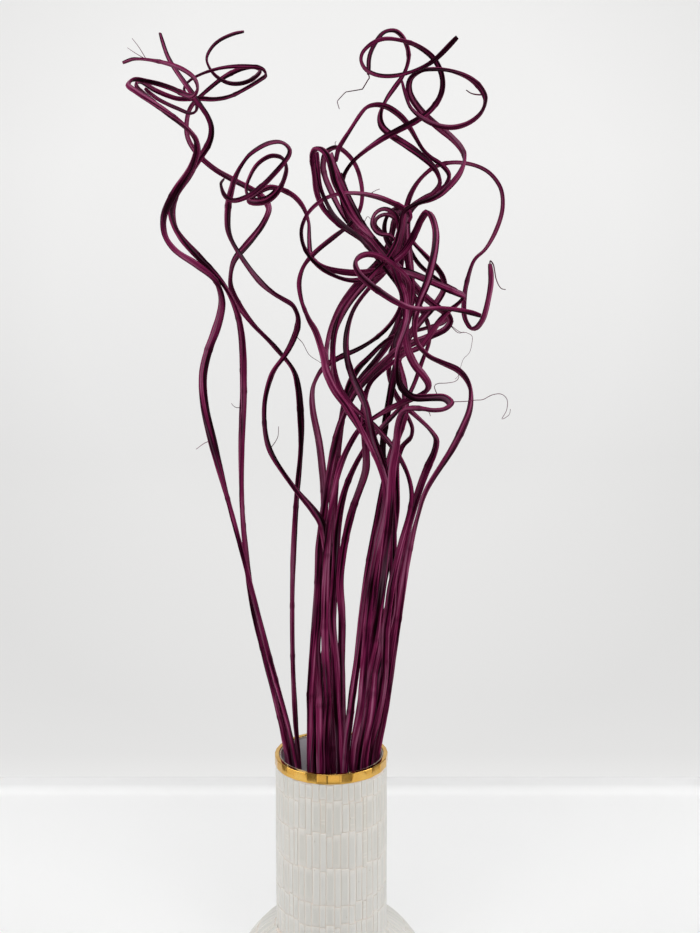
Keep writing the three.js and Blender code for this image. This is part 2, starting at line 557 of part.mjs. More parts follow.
// Points of the body's round wall, from one height to another.
function bodyArc(across, upright, fromHeight, toHeight, count) {
  const from = Math.asin((fromHeight - BODY_CENTRE_HEIGHT) / upright);
  const to = Math.asin((toHeight - BODY_CENTRE_HEIGHT) / upright);
  return Array.from({ length: count + 1 }, (_, i) => {
    const angle = THREE.MathUtils.lerp(from, to, i / count);
    return [across * Math.cos(angle), BODY_CENTRE_HEIGHT + upright * Math.sin(angle)];
  });
}

// The real vase is one piece. Its neck and its globe are separate solids, each of one simple shape.
const neckInside = NECK_RADIUS - NECK_WALL;
const shoulderRise = BODY_HALF_HEIGHT * Math.sqrt(1 - (NECK_RADIUS / BODY_RADIUS) ** 2);
const shoulderHeight = BODY_CENTRE_HEIGHT + shoulderRise;

function vaseGlobe() {
  const innerAcross = BODY_RADIUS - BODY_WALL;
  const innerUpright = BODY_HALF_HEIGHT - BODY_WALL;
  const innerJoin = BODY_CENTRE_HEIGHT + innerUpright * Math.sqrt(1 - (neckInside / innerAcross) ** 2);
  return turnedMesh('vase_globe', [
    [0, 0],
    ...bodyArc(BODY_RADIUS, BODY_HALF_HEIGHT, 0, shoulderHeight, 18),
    [neckInside, shoulderHeight],
    ...bodyArc(innerAcross, innerUpright, FLOOR_THICKNESS, innerJoin, 12).reverse(),
    [0, FLOOR_THICKNESS],
  ], MOSAIC);
}

function vaseNeck() {
  const foot = shoulderHeight + GAP;
  const top = RIM_HEIGHT - BAND_HEIGHT - GAP;
  return turnedMesh('vase_neck', [
    [neckInside, foot],
    [NECK_RADIUS, foot],
    [NECK_RADIUS, top],
    [neckInside, top],
    [neckInside, foot],
  ], MOSAIC);
}

function rimBand() {
  const outer = NECK_RADIUS + BAND_PROUD;
  const inner = outer - BAND_LIP;
  const foot = RIM_HEIGHT - BAND_HEIGHT;
  return turnedMesh('rim_band', [
    [inner, foot],
    [outer, foot],
    [outer, RIM_HEIGHT - BAND_CHAMFER],
    [outer - BAND_CHAMFER, RIM_HEIGHT],
    [inner + BAND_CHAMFER / 2, RIM_HEIGHT],
    [inner, RIM_HEIGHT - BAND_CHAMFER / 2],
    [inner, foot],
  ], POLISHED_BRASS);
}

const vase = new THREE.Group();
vase.add(vaseGlobe(), vaseNeck(), rimBand());

const bunch = new THREE.Group();
const strands = settle(STEMS.map(samplesOf));
STEMS.forEach((stem, s) => {
  const turn = ((s * FIRST_TWIST_STEP) % FIRST_TWIST_SPREAD) - FIRST_TWIST_SPREAD / 2;
  const mesh = new THREE.Mesh(stripGeometry(strands[s], THREE.MathUtils.degToRad(turn)), DYED_STEM);
  mesh.name = stem.name;
  bunch.add(mesh);
});

const part = new THREE.Group();
part.add(vase, bunch);

export default part;
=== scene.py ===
import math
import random

import bmesh
import bpy
import numpy as np
from mathutils import Matrix, Vector


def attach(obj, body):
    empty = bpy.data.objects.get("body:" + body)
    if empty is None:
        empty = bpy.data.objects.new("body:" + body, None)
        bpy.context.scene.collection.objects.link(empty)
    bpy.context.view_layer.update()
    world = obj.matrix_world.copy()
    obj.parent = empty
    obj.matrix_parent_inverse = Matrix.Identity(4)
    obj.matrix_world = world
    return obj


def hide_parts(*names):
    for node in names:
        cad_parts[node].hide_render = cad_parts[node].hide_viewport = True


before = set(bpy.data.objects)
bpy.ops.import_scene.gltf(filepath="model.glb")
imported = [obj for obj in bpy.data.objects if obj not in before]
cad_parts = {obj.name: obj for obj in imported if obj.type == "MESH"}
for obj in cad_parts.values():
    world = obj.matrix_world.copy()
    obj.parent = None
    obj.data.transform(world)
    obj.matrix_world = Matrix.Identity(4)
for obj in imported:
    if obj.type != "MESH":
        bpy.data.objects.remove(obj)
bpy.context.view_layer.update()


# The vase's shell. The vase is one cast resin bottle: a straight neck on a round globe with a flat
# foot. Outside it carries the beige bedding that the mosaic slips are pressed into, and inside it is
# bare white resin, dulled at the lip.

NECK_RADIUS = 0.0448
NECK_BORE = 0.0404
GLOBE_RADIUS = 0.084
GLOBE_HALF_HEIGHT = 0.0756
GLOBE_CENTRE = 0.066
GLOBE_WALL = 0.005
FLOOR_HEIGHT = 0.008
LIP_HEIGHT = 0.2673
LIP_RADIUS = 0.0417
LIP_ROUNDING = 0.0003
BAND_FOOT = 0.2604
BED_UNDER_BAND = 0.0004
SLIP_PROUD = 0.0006
FOOT_ROUNDING = 0.0012
SHELL_SIDES = 144
BED_STEPS = 40
BORE_STEPS = 30
TURNED_CREASE_DEGREES = 35


def srgb(hex_colour):
    """The linear colour of an sRGB hex value, with alpha 1."""
    parts = [int(hex_colour[i:i + 2], 16) / 255 for i in (1, 3, 5)]
    return [p / 12.92 if p <= 0.04045 else ((p + 0.055) / 1.055) ** 2.4 for p in parts] + [1.0]


def add(tree, kind, inputs=(), stops=(), **settings):
    """Adds a node with its settings and a ramp's stops, and sets or links inputs in order or by name."""
    node = tree.nodes.new(kind)
    for name, value in settings.items():
        setattr(node, name, value)
    if stops:
        elements = node.color_ramp.elements
        while len(elements) < len(stops):
            elements.new(1.0)
        for element, (place, hex_colour) in zip(elements, stops):
            element.position = place
            element.color = srgb(hex_colour)
    in_use = [socket for socket in node.inputs if socket.enabled]
    if isinstance(inputs, dict):
        in_use = [next(socket for socket in in_use if socket.name == name) for name in inputs]
        inputs = inputs.values()
    for socket, value in zip(in_use, inputs):
        if isinstance(value, bpy.types.Node):
            value = next(output for output in value.outputs if output.enabled)
        if isinstance(value, bpy.types.NodeSocket):
            tree.links.new(value, socket)
        else:
            socket.default_value = value
    return node


def new_material(name):
    """A material with an empty tree."""
    material = bpy.data.materials.new(name)
    material.use_nodes = True
    material.node_tree.nodes.clear()
    return material, material.node_tree


def place_and_height(tree):
    """Each point's place on the object, and its height alone."""
    place = add(tree, "ShaderNodeTexCoord").outputs["Object"]
    return place, add(tree, "ShaderNodeSeparateXYZ", [place]).outputs["Z"]


def put_in_scene(name, data):
    """A new object at the origin, of a mesh, curve, light or camera."""
    piece = bpy.data.objects.new(name, data)
    bpy.context.scene.collection.objects.link(piece)
    return piece


def new_mesh(name, points, edges=(), faces=(), materials=()):
    """A mesh of points, with its edges or faces and its materials."""
    mesh = bpy.data.meshes.new(name)
    mesh.from_pydata(points, edges, faces)
    for material in materials:
        mesh.materials.append(material)
    return mesh


def turned(name, outline, materials, sides=SHELL_SIDES):
    """A piece turned on the vase's axis from a closed (radius, height) outline."""
    vertices = []
    for side in range(sides):
        angle = 2 * math.pi * side / sides
        vertices += [(r * math.cos(angle), r * math.sin(angle), z) for r, z in outline]
    count = len(outline)
    faces = []
    for side in range(sides):
        here = side * count
        there = (side + 1) % sides * count
        for i in range(count):
            j = (i + 1) % count
            faces.append((here + i, there + i, there + j, here + j))
    mesh = new_mesh(name, vertices, faces=faces, materials=materials)
    work = bmesh.new()
    work.from_mesh(mesh)
    bmesh.ops.remove_doubles(work, verts=work.verts, dist=1e-7)
    bmesh.ops.recalc_face_normals(work, faces=work.faces)
    work.to_mesh(mesh)
    work.free()
    mesh.shade_smooth()
    mesh.set_sharp_from_angle(angle=math.radians(TURNED_CREASE_DEGREES))
    return put_in_scene(name, mesh)


def globe_arc(radius, half_height, low, high, steps):
    """Points of the globe's wall from one height to another."""
    start = math.asin((low - GLOBE_CENTRE) / half_height)
    end = math.asin((high - GLOBE_CENTRE) / half_height)
    angles = [start + (end - start) * i / steps for i in range(steps + 1)]
    return [(radius * math.cos(a), GLOBE_CENTRE + half_height * math.sin(a)) for a in angles]


# Bedding mortar, wiped back and matt: it is a warm pale beige, and draws the thin lines between the
# slips. Its sand is drawn about 0.7 mm across, coarser than the real sand, so that it shows.
bedding, tree = new_material("wiped ivory bedding mortar")
place = add(tree, "ShaderNodeTexCoord").outputs["Object"]
SAND_PER_METRE = 1400
sand = add(tree, "ShaderNodeTexNoise", {"Vector": place, "Scale": SAND_PER_METRE, "Detail": 3.0})
mortar = add(tree, "ShaderNodeBsdfPrincipled", {
    "Base Color": add(tree, "ShaderNodeValToRGB", [sand], stops=[(0.3, "#d6cbc1"), (0.7, "#e2d9d0")]),
    "Roughness": 0.8,
    "Normal": add(tree, "ShaderNodeBump", {"Height": sand, "Strength": 0.3, "Distance": 0.0001}),
})
add(tree, "ShaderNodeOutputMaterial", [mortar])

# Cast resin, bare inside the vase: a cool white with faint clouds, 17 mm across, that goes darker
# and beige at the lip.
resin, tree = new_material("cast white resin")
place, height = place_and_height(tree)
RESIN_CLOUDS_PER_METRE = 60
LIP_SHADE_FROM = 0.2655
clouds = add(tree, "ShaderNodeTexNoise", {
    "Vector": place, "Scale": RESIN_CLOUDS_PER_METRE, "Detail": 4.0,
})
shade = add(tree, "ShaderNodeValToRGB", [clouds], stops=[(0.3, "#f6f4fa"), (0.7, "#fdfcff")])
on_lip = add(tree, "ShaderNodeMapRange", [height, LIP_SHADE_FROM, LIP_HEIGHT - LIP_ROUNDING])
cast = add(tree, "ShaderNodeBsdfPrincipled", {
    "Base Color": add(tree, "ShaderNodeMix", [on_lip, shade, srgb("#b4a898")], data_type="RGBA"),
    "Roughness": 0.4,
})
add(tree, "ShaderNodeOutputMaterial", [cast])


def shoulder_height(radius, half_height, neck_radius):
    """The height at which a globe is as narrow as the neck."""
    return GLOBE_CENTRE + half_height * math.sqrt(1 - (neck_radius / radius) ** 2)


bed_radius = NECK_RADIUS - SLIP_PROUD
bed_globe_size = (GLOBE_RADIUS - SLIP_PROUD, GLOBE_HALF_HEIGHT - SLIP_PROUD)
bore_globe_size = (GLOBE_RADIUS - GLOBE_WALL, GLOBE_HALF_HEIGHT - GLOBE_WALL)
shoulder = shoulder_height(*bed_globe_size, bed_radius)
bore_shoulder = shoulder_height(*bore_globe_size, NECK_BORE)
bed_globe = globe_arc(*bed_globe_size, FOOT_ROUNDING, shoulder, BED_STEPS)
bore_globe = globe_arc(*bore_globe_size, FLOOR_HEIGHT, bore_shoulder, BORE_STEPS)
bed_top = BAND_FOOT + BED_UNDER_BAND
shell = turned("vase_shell", [
    (0.0, 0.0),
    (bed_globe[0][0] - FOOT_ROUNDING, 0.0),
    *bed_globe,
    (bed_radius, bed_top),
    (LIP_RADIUS, bed_top),
    (LIP_RADIUS, LIP_HEIGHT - LIP_ROUNDING),
    (LIP_RADIUS - LIP_ROUNDING, LIP_HEIGHT),
    (NECK_BORE + LIP_ROUNDING, LIP_HEIGHT),
    (NECK_BORE, LIP_HEIGHT - LIP_ROUNDING),
    *reversed(bore_globe),
    (0.0, FLOOR_HEIGHT),
], [bedding, resin])
for face in shell.data.polygons:
    outward = Vector((face.center.x, face.center.y, face.center.z - GLOBE_CENTRE))
    in_neck = face.center.z > shoulder and outward.xy.length < LIP_RADIUS + LIP_ROUNDING
    in_globe = FOOT_ROUNDING < face.center.z < shoulder and face.normal.dot(outward) < 0
    face.material_index = int(in_neck or in_globe)
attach(shell, "root")
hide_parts("vase_globe", "vase_neck")


# The mosaic. Narrow slips of bleached bone, sawn about 5.5 mm wide, are pressed upright into the
# bedding in staggered courses of uneven height. They stand about half a millimetre proud of it, and
# are rounded at their edges and polished to a satin.

SLIP_WIDTH = 0.0055
SLIP_JOINT = 0.00045
SLIP_UNEVENNESS = 0.42
COURSE_STEP = 0.0042
HAND_CUT = 0.00014
TOP_COURSE_GAP = 0.0002
NECK_COURSES = [0.1507, 0.1665, 0.1935, 0.2221, 0.2461, BAND_FOOT - TOP_COURSE_GAP]
GLOBE_COURSE_HEIGHTS = [0.019, 0.026, 0.022, 0.028, 0.024, 0.027, 0.022]
WALL_PAST_BAND_FOOT = 0.002
SLIP_CREASE_DEGREES = 40


def new_tree(name, sockets):
    """A geometry tree with named inputs, and its input node's outputs."""
    made = bpy.data.node_groups.new(name, "GeometryNodeTree")
    made.interface.new_socket("Geometry", in_out="INPUT", socket_type="NodeSocketGeometry")
    made.interface.new_socket("Geometry", in_out="OUTPUT", socket_type="NodeSocketGeometry")
    for label, kind in sockets.items():
        made.interface.new_socket(label, in_out="INPUT", socket_type="NodeSocket" + kind)
    return made, add(made, "NodeGroupInput").outputs


def grown(name, start, made, values):
    """The plain mesh that a geometry tree makes from a starting mesh and its inputs' values."""
    piece = put_in_scene(name, start)
    modifier = piece.modifiers.new(made.name, "NODES")
    modifier.node_group = made
    identifiers = {item.name: item.identifier for item in made.interface.items_tree
                   if item.in_out == "INPUT"}
    for label, value in values.items():
        modifier[identifiers[label]] = value
    evaluated = piece.evaluated_get(bpy.context.evaluated_depsgraph_get())
    mesh = bpy.data.meshes.new_from_object(evaluated)
    piece.modifiers.remove(modifier)
    bpy.data.objects.remove(piece)
    mesh.name = name
    return mesh


def slip_blank():
    """One slip's face and sides, 1 wide, 1 long and 1 proud, with a crowned and bevelled face."""
    across = [-0.5, -0.43, -0.2, 0.2, 0.43, 0.5]
    along = [-0.5, -0.486, -0.3, -0.1, 0.1, 0.3, 0.486, 0.5]
    # From the slip's edge inwards: how proud its face is, and how strongly its painted rim highlight
    # shows.
    inwards = [(0.35, 1.0), (0.92, 0.75), (1.0, 0.0)]
    side_foot = -0.5
    columns = len(along)
    last = len(across) - 1
    vertices = []
    painted_rim_highlights = []
    for i, x in enumerate(across):
        for j, z in enumerate(along):
            proud, rim = inwards[min(i, last - i, j, columns - 1 - j, len(inwards) - 1)]
            vertices.append((x, proud, z))
            painted_rim_highlights.append(rim)
    faces = [(i * columns + j, i * columns + j + 1, (i + 1) * columns + j + 1, (i + 1) * columns + j)
             for i in range(last) for j in range(columns - 1)]
    border = ([j for j in range(columns)] + [i * columns + columns - 1 for i in range(1, last + 1)]
              + [last * columns + j for j in range(columns - 2, -1, -1)]
              + [i * columns for i in range(last - 1, 0, -1)])
    foot = len(vertices)
    vertices += [(vertices[v][0], side_foot, vertices[v][2]) for v in border]
    painted_rim_highlights += [1.0] * len(border)
    for k, v in enumerate(border):
        after = (k + 1) % len(border)
        faces.append((v, foot + k, foot + after, border[after]))
    mesh = new_mesh("slip_blank", vertices, faces=faces)
    mesh.attributes.new("rim", "FLOAT", "POINT").data.foreach_set("value", painted_rim_highlights)
    return mesh


def polyline(name, points):
    """A mesh of one open chain of edges."""
    return new_mesh(name, [tuple(p) for p in points], [(i, i + 1) for i in range(len(points) - 1)])


def half_way(tree, one, other):
    """The value half way between two."""
    both = add(tree, "ShaderNodeMath", [one, other], operation="ADD")
    return add(tree, "ShaderNodeMath", [both, 0.5], operation="MULTIPLY")


def cosine_and_sine(tree, angle):
    """The cosine and the sine of an angle."""
    return [add(tree, "ShaderNodeMath", [angle], operation=kind) for kind in ("COSINE", "SINE")]


# One course of slips. It is laid out flat, as angle, height off the wall and run up the wall, and then
# wrapped round the wall's outline.
course, given = new_tree("mosaic course", {
    "Blank": "Object", "Wall": "Object", "Slips": "Int", "Number": "Int", "Bottom": "Float",
    "Top": "Float", "Joint": "Float", "Proud": "Float", "Unevenness": "Float", "Step": "Float",
    "Hand Cut": "Float", "Material": "Material",
})
LINE_WANDER = 1.2
LINE_WANDER_SCALE = 1.5
LINE_SEED = 7
ID_PER_COURSE = 1000
LEAST_PROUD = 0.75
TREMORS_PER_METRE = 260.0
wall = add(course, "GeometryNodeObjectInfo", [given["Wall"]]).outputs["Geometry"]
wall_curve = add(course, "GeometryNodeMeshToCurve", [wall])
blank = add(course, "GeometryNodeObjectInfo", [given["Blank"]]).outputs["Geometry"]
index = add(course, "GeometryNodeInputIndex")
after = add(course, "ShaderNodeMath", [index, 1.0], operation="ADD")
after_wrapped = add(course, "ShaderNodeMath", [after, given["Slips"]], operation="MODULO")
turn_per_slip = add(course, "ShaderNodeMath", [2 * math.pi, given["Slips"]], operation="DIVIDE")
edges = []
for order, identity in ((index, index), (after, after_wrapped)):
    shift = add(course, "FunctionNodeRandomValue", {
        "Min": -0.5, "Max": 0.5, "ID": identity, "Seed": given["Number"],
    })
    place = add(course, "ShaderNodeMath", [shift, given["Unevenness"], order], operation="MULTIPLY_ADD")
    edges.append(add(course, "ShaderNodeMath", [place, turn_per_slip], operation="MULTIPLY"))
at_middle = add(course, "GeometryNodeSampleCurve", {
    "Curves": wall_curve, "Length": half_way(course, given["Bottom"], given["Top"]),
}, mode="LENGTH")
radius = add(course, "ShaderNodeSeparateXYZ", [at_middle.outputs["Position"]])
whole_turn = add(course, "ShaderNodeMath", [edges[1], edges[0]], operation="SUBTRACT")
joint_turn = add(course, "ShaderNodeMath", [given["Joint"], radius], operation="DIVIDE")
slip_turn = add(course, "ShaderNodeMath", [whole_turn, joint_turn], operation="SUBTRACT")
slip_angle = half_way(course, *edges)
ends = []
for height, number_step in ((given["Bottom"], 0.0), (given["Top"], 1.0)):
    # A slip and the one under it read the same random step and the same slow wander of their line.
    line_number = add(course, "ShaderNodeMath", [given["Number"], number_step], operation="ADD")
    line_id = add(course, "ShaderNodeMath", [line_number, ID_PER_COURSE, index],
                  operation="MULTIPLY_ADD")
    step = add(course, "FunctionNodeRandomValue", {
        "Min": -0.5, "Max": 0.5, "ID": line_id, "Seed": LINE_SEED,
    })
    around = add(course, "ShaderNodeCombineXYZ", [*cosine_and_sine(course, slip_angle), line_number])
    wander = add(course, "ShaderNodeTexNoise", {"Vector": around, "Scale": LINE_WANDER_SCALE})
    centred = add(course, "ShaderNodeMath", [wander, 0.5], operation="SUBTRACT")
    swing = add(course, "ShaderNodeMath", [centred, LINE_WANDER, step], operation="MULTIPLY_ADD")
    ends.append(add(course, "ShaderNodeMath", [swing, given["Step"], height], operation="MULTIPLY_ADD"))
whole_length = add(course, "ShaderNodeMath", [ends[1], ends[0]], operation="SUBTRACT")
length = add(course, "ShaderNodeMath", [whole_length, given["Joint"]], operation="SUBTRACT")
laid_out = add(course, "ShaderNodeCombineXYZ", {"X": slip_angle, "Z": half_way(course, *ends)})
points = add(course, "GeometryNodePoints", {"Count": given["Slips"], "Position": laid_out})
lot = add(course, "FunctionNodeRandomValue", {"Min": 0.0, "Max": 1.0, "Seed": given["Number"]})
ground_to = add(course, "ShaderNodeMapRange", {"Value": lot, "To Min": LEAST_PROUD, "To Max": 1.0})
proud = add(course, "ShaderNodeMath", [given["Proud"], ground_to], operation="MULTIPLY")
size = add(course, "ShaderNodeCombineXYZ", [slip_turn, proud, length])
pressed = add(course, "GeometryNodeInstanceOnPoints", {
    "Points": points, "Instance": blank, "Scale": size,
})
lotted = add(course, "GeometryNodeStoreNamedAttribute", {
    "Geometry": pressed, "Name": "slip", "Value": lot,
}, data_type="FLOAT", domain="INSTANCE")
flat = add(course, "GeometryNodeRealizeInstances", [lotted])
position = add(course, "GeometryNodeInputPosition")
unrolled = add(course, "ShaderNodeVectorMath", [position, (NECK_RADIUS, 1.0, 1.0)], operation="MULTIPLY")
grained = add(course, "GeometryNodeStoreNamedAttribute", {
    "Geometry": flat, "Name": "grain", "Value": unrolled,
}, data_type="FLOAT_VECTOR", domain="POINT")
here = add(course, "ShaderNodeSeparateXYZ", [position]).outputs
on_wall = add(course, "GeometryNodeSampleCurve", {
    "Curves": wall_curve, "Length": here["Z"],
}, mode="LENGTH")
wall_point = add(course, "ShaderNodeSeparateXYZ", [on_wall.outputs["Position"]]).outputs
wall_run = add(course, "ShaderNodeSeparateXYZ", [on_wall.outputs["Tangent"]]).outputs
reach = add(course, "ShaderNodeMath", [here["Y"], wall_run["Z"], wall_point["X"]],
            operation="MULTIPLY_ADD")
drop = add(course, "ShaderNodeMath", [here["Y"], wall_run["X"]], operation="MULTIPLY")
level_place = [add(course, "ShaderNodeMath", [reach, part], operation="MULTIPLY")
               for part in cosine_and_sine(course, here["X"])]
up_wall = add(course, "ShaderNodeMath", [wall_point["Z"], drop], operation="SUBTRACT")
wrapped = add(course, "ShaderNodeCombineXYZ", [*level_place, up_wall])
on_vase = add(course, "GeometryNodeSetPosition", {"Geometry": grained, "Position": wrapped})
tremor = add(course, "ShaderNodeTexNoise", {
    "Vector": position, "Scale": TREMORS_PER_METRE, "Detail": 1.0,
})
tremor_vector = tremor.outputs["Color"]
shake = add(course, "ShaderNodeVectorMath", [tremor_vector, (0.5, 0.5, 0.5)], operation="SUBTRACT")
offset = add(course, "ShaderNodeVectorMath", {
    "Vector": shake, "Scale": given["Hand Cut"],
}, operation="SCALE")
sawn = add(course, "GeometryNodeSetPosition", {"Geometry": on_vase, "Offset": offset})
whole = add(course, "GeometryNodeSetMaterial", {"Geometry": sawn, "Material": given["Material"]})
add(course, "NodeGroupOutput", [whole])

# Bleached bone, sawn, ground and satin polished: a soft off-white, each slip its own tone, with faint
# streaks 1 mm apart, pale saw marks across a few and brown pores. A paler rim is painted along its
# rounded edge, a painted highlight where that edge would catch the light.
bone, tree = new_material("bleached bone slip")
grain = add(tree, "ShaderNodeAttribute", attribute_name="grain").outputs["Vector"]
lot, rim = [add(tree, "ShaderNodeAttribute", attribute_name=name).outputs["Fac"]
            for name in ("slip", "rim")]
STREAKS_PER_METRE = (1000.0, 1.0, 40.0)
PAINTED_RIM_HIGHLIGHT_SHOWS = 0.6
SAW_MARK_SPACING = 0.008
SAW_MARKS_SHIFT = 40.0
SAW_MARKED_FROM = 0.85
SAW_MARKS_SHOW = 0.3
PORE_SPACING = 0.0035
PORE_STRETCH = (1.0, 1.0, 0.6)
OPEN_PORES_FROM = 0.82
PORES_SHOW = 0.5
tone = add(tree, "ShaderNodeValToRGB", [lot], stops=[
    (0.0, "#cac8c2"), (0.4, "#cccbc6"), (0.8, "#d1d0cc"), (1.0, "#ccc9c1"),
])
streak_place = add(tree, "ShaderNodeVectorMath", [grain, STREAKS_PER_METRE], operation="MULTIPLY")
streaks = add(tree, "ShaderNodeTexNoise", {"Vector": streak_place, "Scale": 1.0, "Detail": 3.0})
streak = add(tree, "ShaderNodeMapRange", {
    "Value": streaks, "From Min": 0.45, "From Max": 0.8, "To Max": 0.35,
})
slip_run = add(tree, "ShaderNodeSeparateXYZ", [grain]).outputs["Z"]
saw_step = add(tree, "ShaderNodeMath", [slip_run, SAW_MARK_SPACING], operation="DIVIDE")
saw_place = add(tree, "ShaderNodeMath", [lot, SAW_MARKS_SHIFT, saw_step], operation="MULTIPLY_ADD")
saw_lines = add(tree, "ShaderNodeTexVoronoi", {"W": saw_place, "Scale": 1.0}, voronoi_dimensions="1D")
on_line = add(tree, "ShaderNodeMapRange", {
    "Value": saw_lines, "From Min": 0.04, "From Max": 0.08, "To Min": 1.0, "To Max": 0.0,
})
marked_slips = add(tree, "ShaderNodeMath", [lot, SAW_MARKED_FROM], operation="GREATER_THAN")
saw_mark = add(tree, "ShaderNodeMath", [on_line, marked_slips], operation="MULTIPLY")
pore_place = add(tree, "ShaderNodeVectorMath", [grain, PORE_STRETCH], operation="MULTIPLY")
pores = add(tree, "ShaderNodeTexVoronoi", {"Vector": pore_place, "Scale": 1 / PORE_SPACING})
pore_lot = add(tree, "ShaderNodeSeparateColor", [pores.outputs["Color"]])
open_pores = add(tree, "ShaderNodeMath", [pore_lot, OPEN_PORES_FROM], operation="GREATER_THAN")
dot = add(tree, "ShaderNodeMapRange", {
    "Value": pores, "From Min": 0.06, "From Max": 0.13, "To Min": 1.0, "To Max": 0.0,
})
pore = add(tree, "ShaderNodeMath", [open_pores, dot], operation="MULTIPLY")
tone = add(tree, "ShaderNodeMix", [streak, tone, srgb("#bebdb9")], data_type="RGBA")
# The paler rim colour is a painted highlight along each slip's rounded edge.
for mark, share, hex_colour in ((rim, PAINTED_RIM_HIGHLIGHT_SHOWS, "#e2ddd7"), (saw_mark, SAW_MARKS_SHOW, "#eae4dc"),
                                (pore, PORES_SHOW, "#94846f")):
    shown = add(tree, "ShaderNodeMath", [mark, share], operation="MULTIPLY")
    tone = add(tree, "ShaderNodeMix", [shown, tone, srgb(hex_colour)], data_type="RGBA")
relief = add(tree, "ShaderNodeMath", [streaks, pore], operation="SUBTRACT")
polished_bone = add(tree, "ShaderNodeBsdfPrincipled", {
    "Base Color": tone,
    "Roughness": add(tree, "ShaderNodeMapRange", {"Value": streaks, "To Min": 0.34, "To Max": 0.5}),
    "Normal": add(tree, "ShaderNodeBump", {"Height": relief, "Strength": 0.25, "Distance": 0.00015}),
})
add(tree, "ShaderNodeOutputMaterial", [polished_bone])

blank_piece = put_in_scene("slip_blank", slip_blank())
wall_outline = [*bed_globe, (bed_radius, BAND_FOOT + WALL_PAST_BAND_FOOT)]
wall_line = polyline("wall_outline", [(r, 0, z) for r, z in wall_outline])
wall_piece = put_in_scene("wall_outline", wall_line)
globe_length = sum(math.dist(a, b) for a, b in zip(bed_globe, bed_globe[1:]))
stretch = globe_length / sum(GLOBE_COURSE_HEIGHTS)
heights = [0.0]
for rise in GLOBE_COURSE_HEIGHTS:
    heights.append(heights[-1] + rise * stretch)
heights += [globe_length + z - shoulder for z in NECK_COURSES]
wall_radii = [r for r, z in wall_outline]
wall_runs = np.cumsum([0.0] + [math.dist(a, b) for a, b in zip(wall_outline, wall_outline[1:])])


def joined(name, meshes):
    """One mesh of several."""
    work = bmesh.new()
    for mesh in meshes:
        work.from_mesh(mesh)
    whole = meshes[0].copy()
    work.to_mesh(whole)
    work.free()
    whole.name = name
    for mesh in meshes:
        bpy.data.meshes.remove(mesh)
    return whole


laid_courses = []
for number, (bottom, top) in enumerate(zip(heights, heights[1:])):
    girth = 2 * math.pi * np.interp((bottom + top) / 2, wall_runs, wall_radii)
    laid_courses.append(grown(f"course_{number}", bpy.data.meshes.new("start"), course, {
        "Blank": blank_piece, "Wall": wall_piece, "Slips": round(girth / SLIP_WIDTH),
        "Number": number, "Bottom": bottom, "Top": top, "Joint": SLIP_JOINT, "Proud": SLIP_PROUD,
        "Unevenness": SLIP_UNEVENNESS, "Step": COURSE_STEP, "Hand Cut": HAND_CUT, "Material": bone,
    }))
slips = put_in_scene("mosaic_slips", joined("mosaic_slips", laid_courses))
slips.data.shade_smooth()
slips.data.set_sharp_from_angle(angle=math.radians(SLIP_CREASE_DEGREES))
for helper in (blank_piece, wall_piece):
    bpy.data.objects.remove(helper)
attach(slips, "root")
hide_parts("vase_globe", "vase_neck")


# The rim band. A ring of brass, planished round the mouth of the neck with a hammer, so that it has
# small flats that each lean their own way, and polished bright, which rounded its edges.

RIM_HEIGHT = 0.268
BAND_RADIUS = 0.0453
BAND_CLEARANCE = 0.0001
BAND_EDGE = 0.0006
EDGE_STEPS = 5
BAND_SIDES = 288
FLAT_SIDES = (6, 13)
FLAT_LEAN = 0.015
HAMMER_SEED = 4


def rounded_corners(corners, rounding):
    """An outline with each corner turned into a short arc of points."""
    outline = []
    for before, corner, after in zip(corners[-1:] + corners[:-1], corners, corners[1:] + corners[:1]):
        start = corner + (before - corner).normalized() * rounding
        end = corner + (after - corner).normalized() * rounding
        for step in range(EDGE_STEPS + 1):
            t = step / EDGE_STEPS
            outline.append(start * (1 - t) ** 2 + corner * 2 * t * (1 - t) + end * t ** 2)
    return [tuple(point) for point in outline]


# Brass, polished: warm yellow metal, clouded a little by handling, with polishing marks round it. They
# are drawn 0.25 mm apart, coarser than real hairlines, so that they show.
brass, tree = new_material("polished brass")
place, height = place_and_height(tree)
HAIRLINE_SPACING = 0.00025
BRASS_CLOUDS_PER_METRE = 90
hairline_place = add(tree, "ShaderNodeMath", [height, HAIRLINE_SPACING], operation="DIVIDE")
hairlines = add(tree, "ShaderNodeTexNoise", {"W": hairline_place, "Scale": 1.0}, noise_dimensions="1D")
dulled = add(tree, "ShaderNodeTexNoise", {
    "Vector": place, "Scale": BRASS_CLOUDS_PER_METRE, "Detail": 3.0,
})
brass_tone = add(tree, "ShaderNodeValToRGB", [dulled], stops=[(0.35, "#cc9c48"), (0.65, "#dab05e")])
polished = add(tree, "ShaderNodeBsdfPrincipled", {
    "Base Color": brass_tone,
    "Metallic": 1.0,
    "Roughness": add(tree, "ShaderNodeMapRange", {
        "Value": dulled, "From Min": 0.3, "From Max": 0.75, "To Min": 0.08, "To Max": 0.18,
    }),
    "Normal": add(tree, "ShaderNodeBump", {"Height": hairlines, "Strength": 0.05, "Distance": 0.0001}),
})
add(tree, "ShaderNodeOutputMaterial", [polished])


def hammer_flats():
    """For each side of the band: how far in it lies on its flat, and how far its flat leans out."""
    chance = random.Random(HAMMER_SEED)
    corners = [0]
    while corners[-1] < BAND_SIDES - FLAT_SIDES[1]:
        corners.append(corners[-1] + chance.randint(*FLAT_SIDES))
    side_angle = 2 * math.pi / BAND_SIDES
    flats = []
    lean_before = 0.0
    for start, end in zip(corners, corners[1:] + [BAND_SIDES]):
        lean = chance.uniform(-FLAT_LEAN, FLAT_LEAN)
        edge = math.cos((end - start) / 2 * side_angle)
        for side in range(start, end):
            inward = edge / math.cos((side - (start + end) / 2) * side_angle)
            flats.append((inward, (lean + lean_before) / 2 if side == start else lean))
        lean_before = lean
    return flats


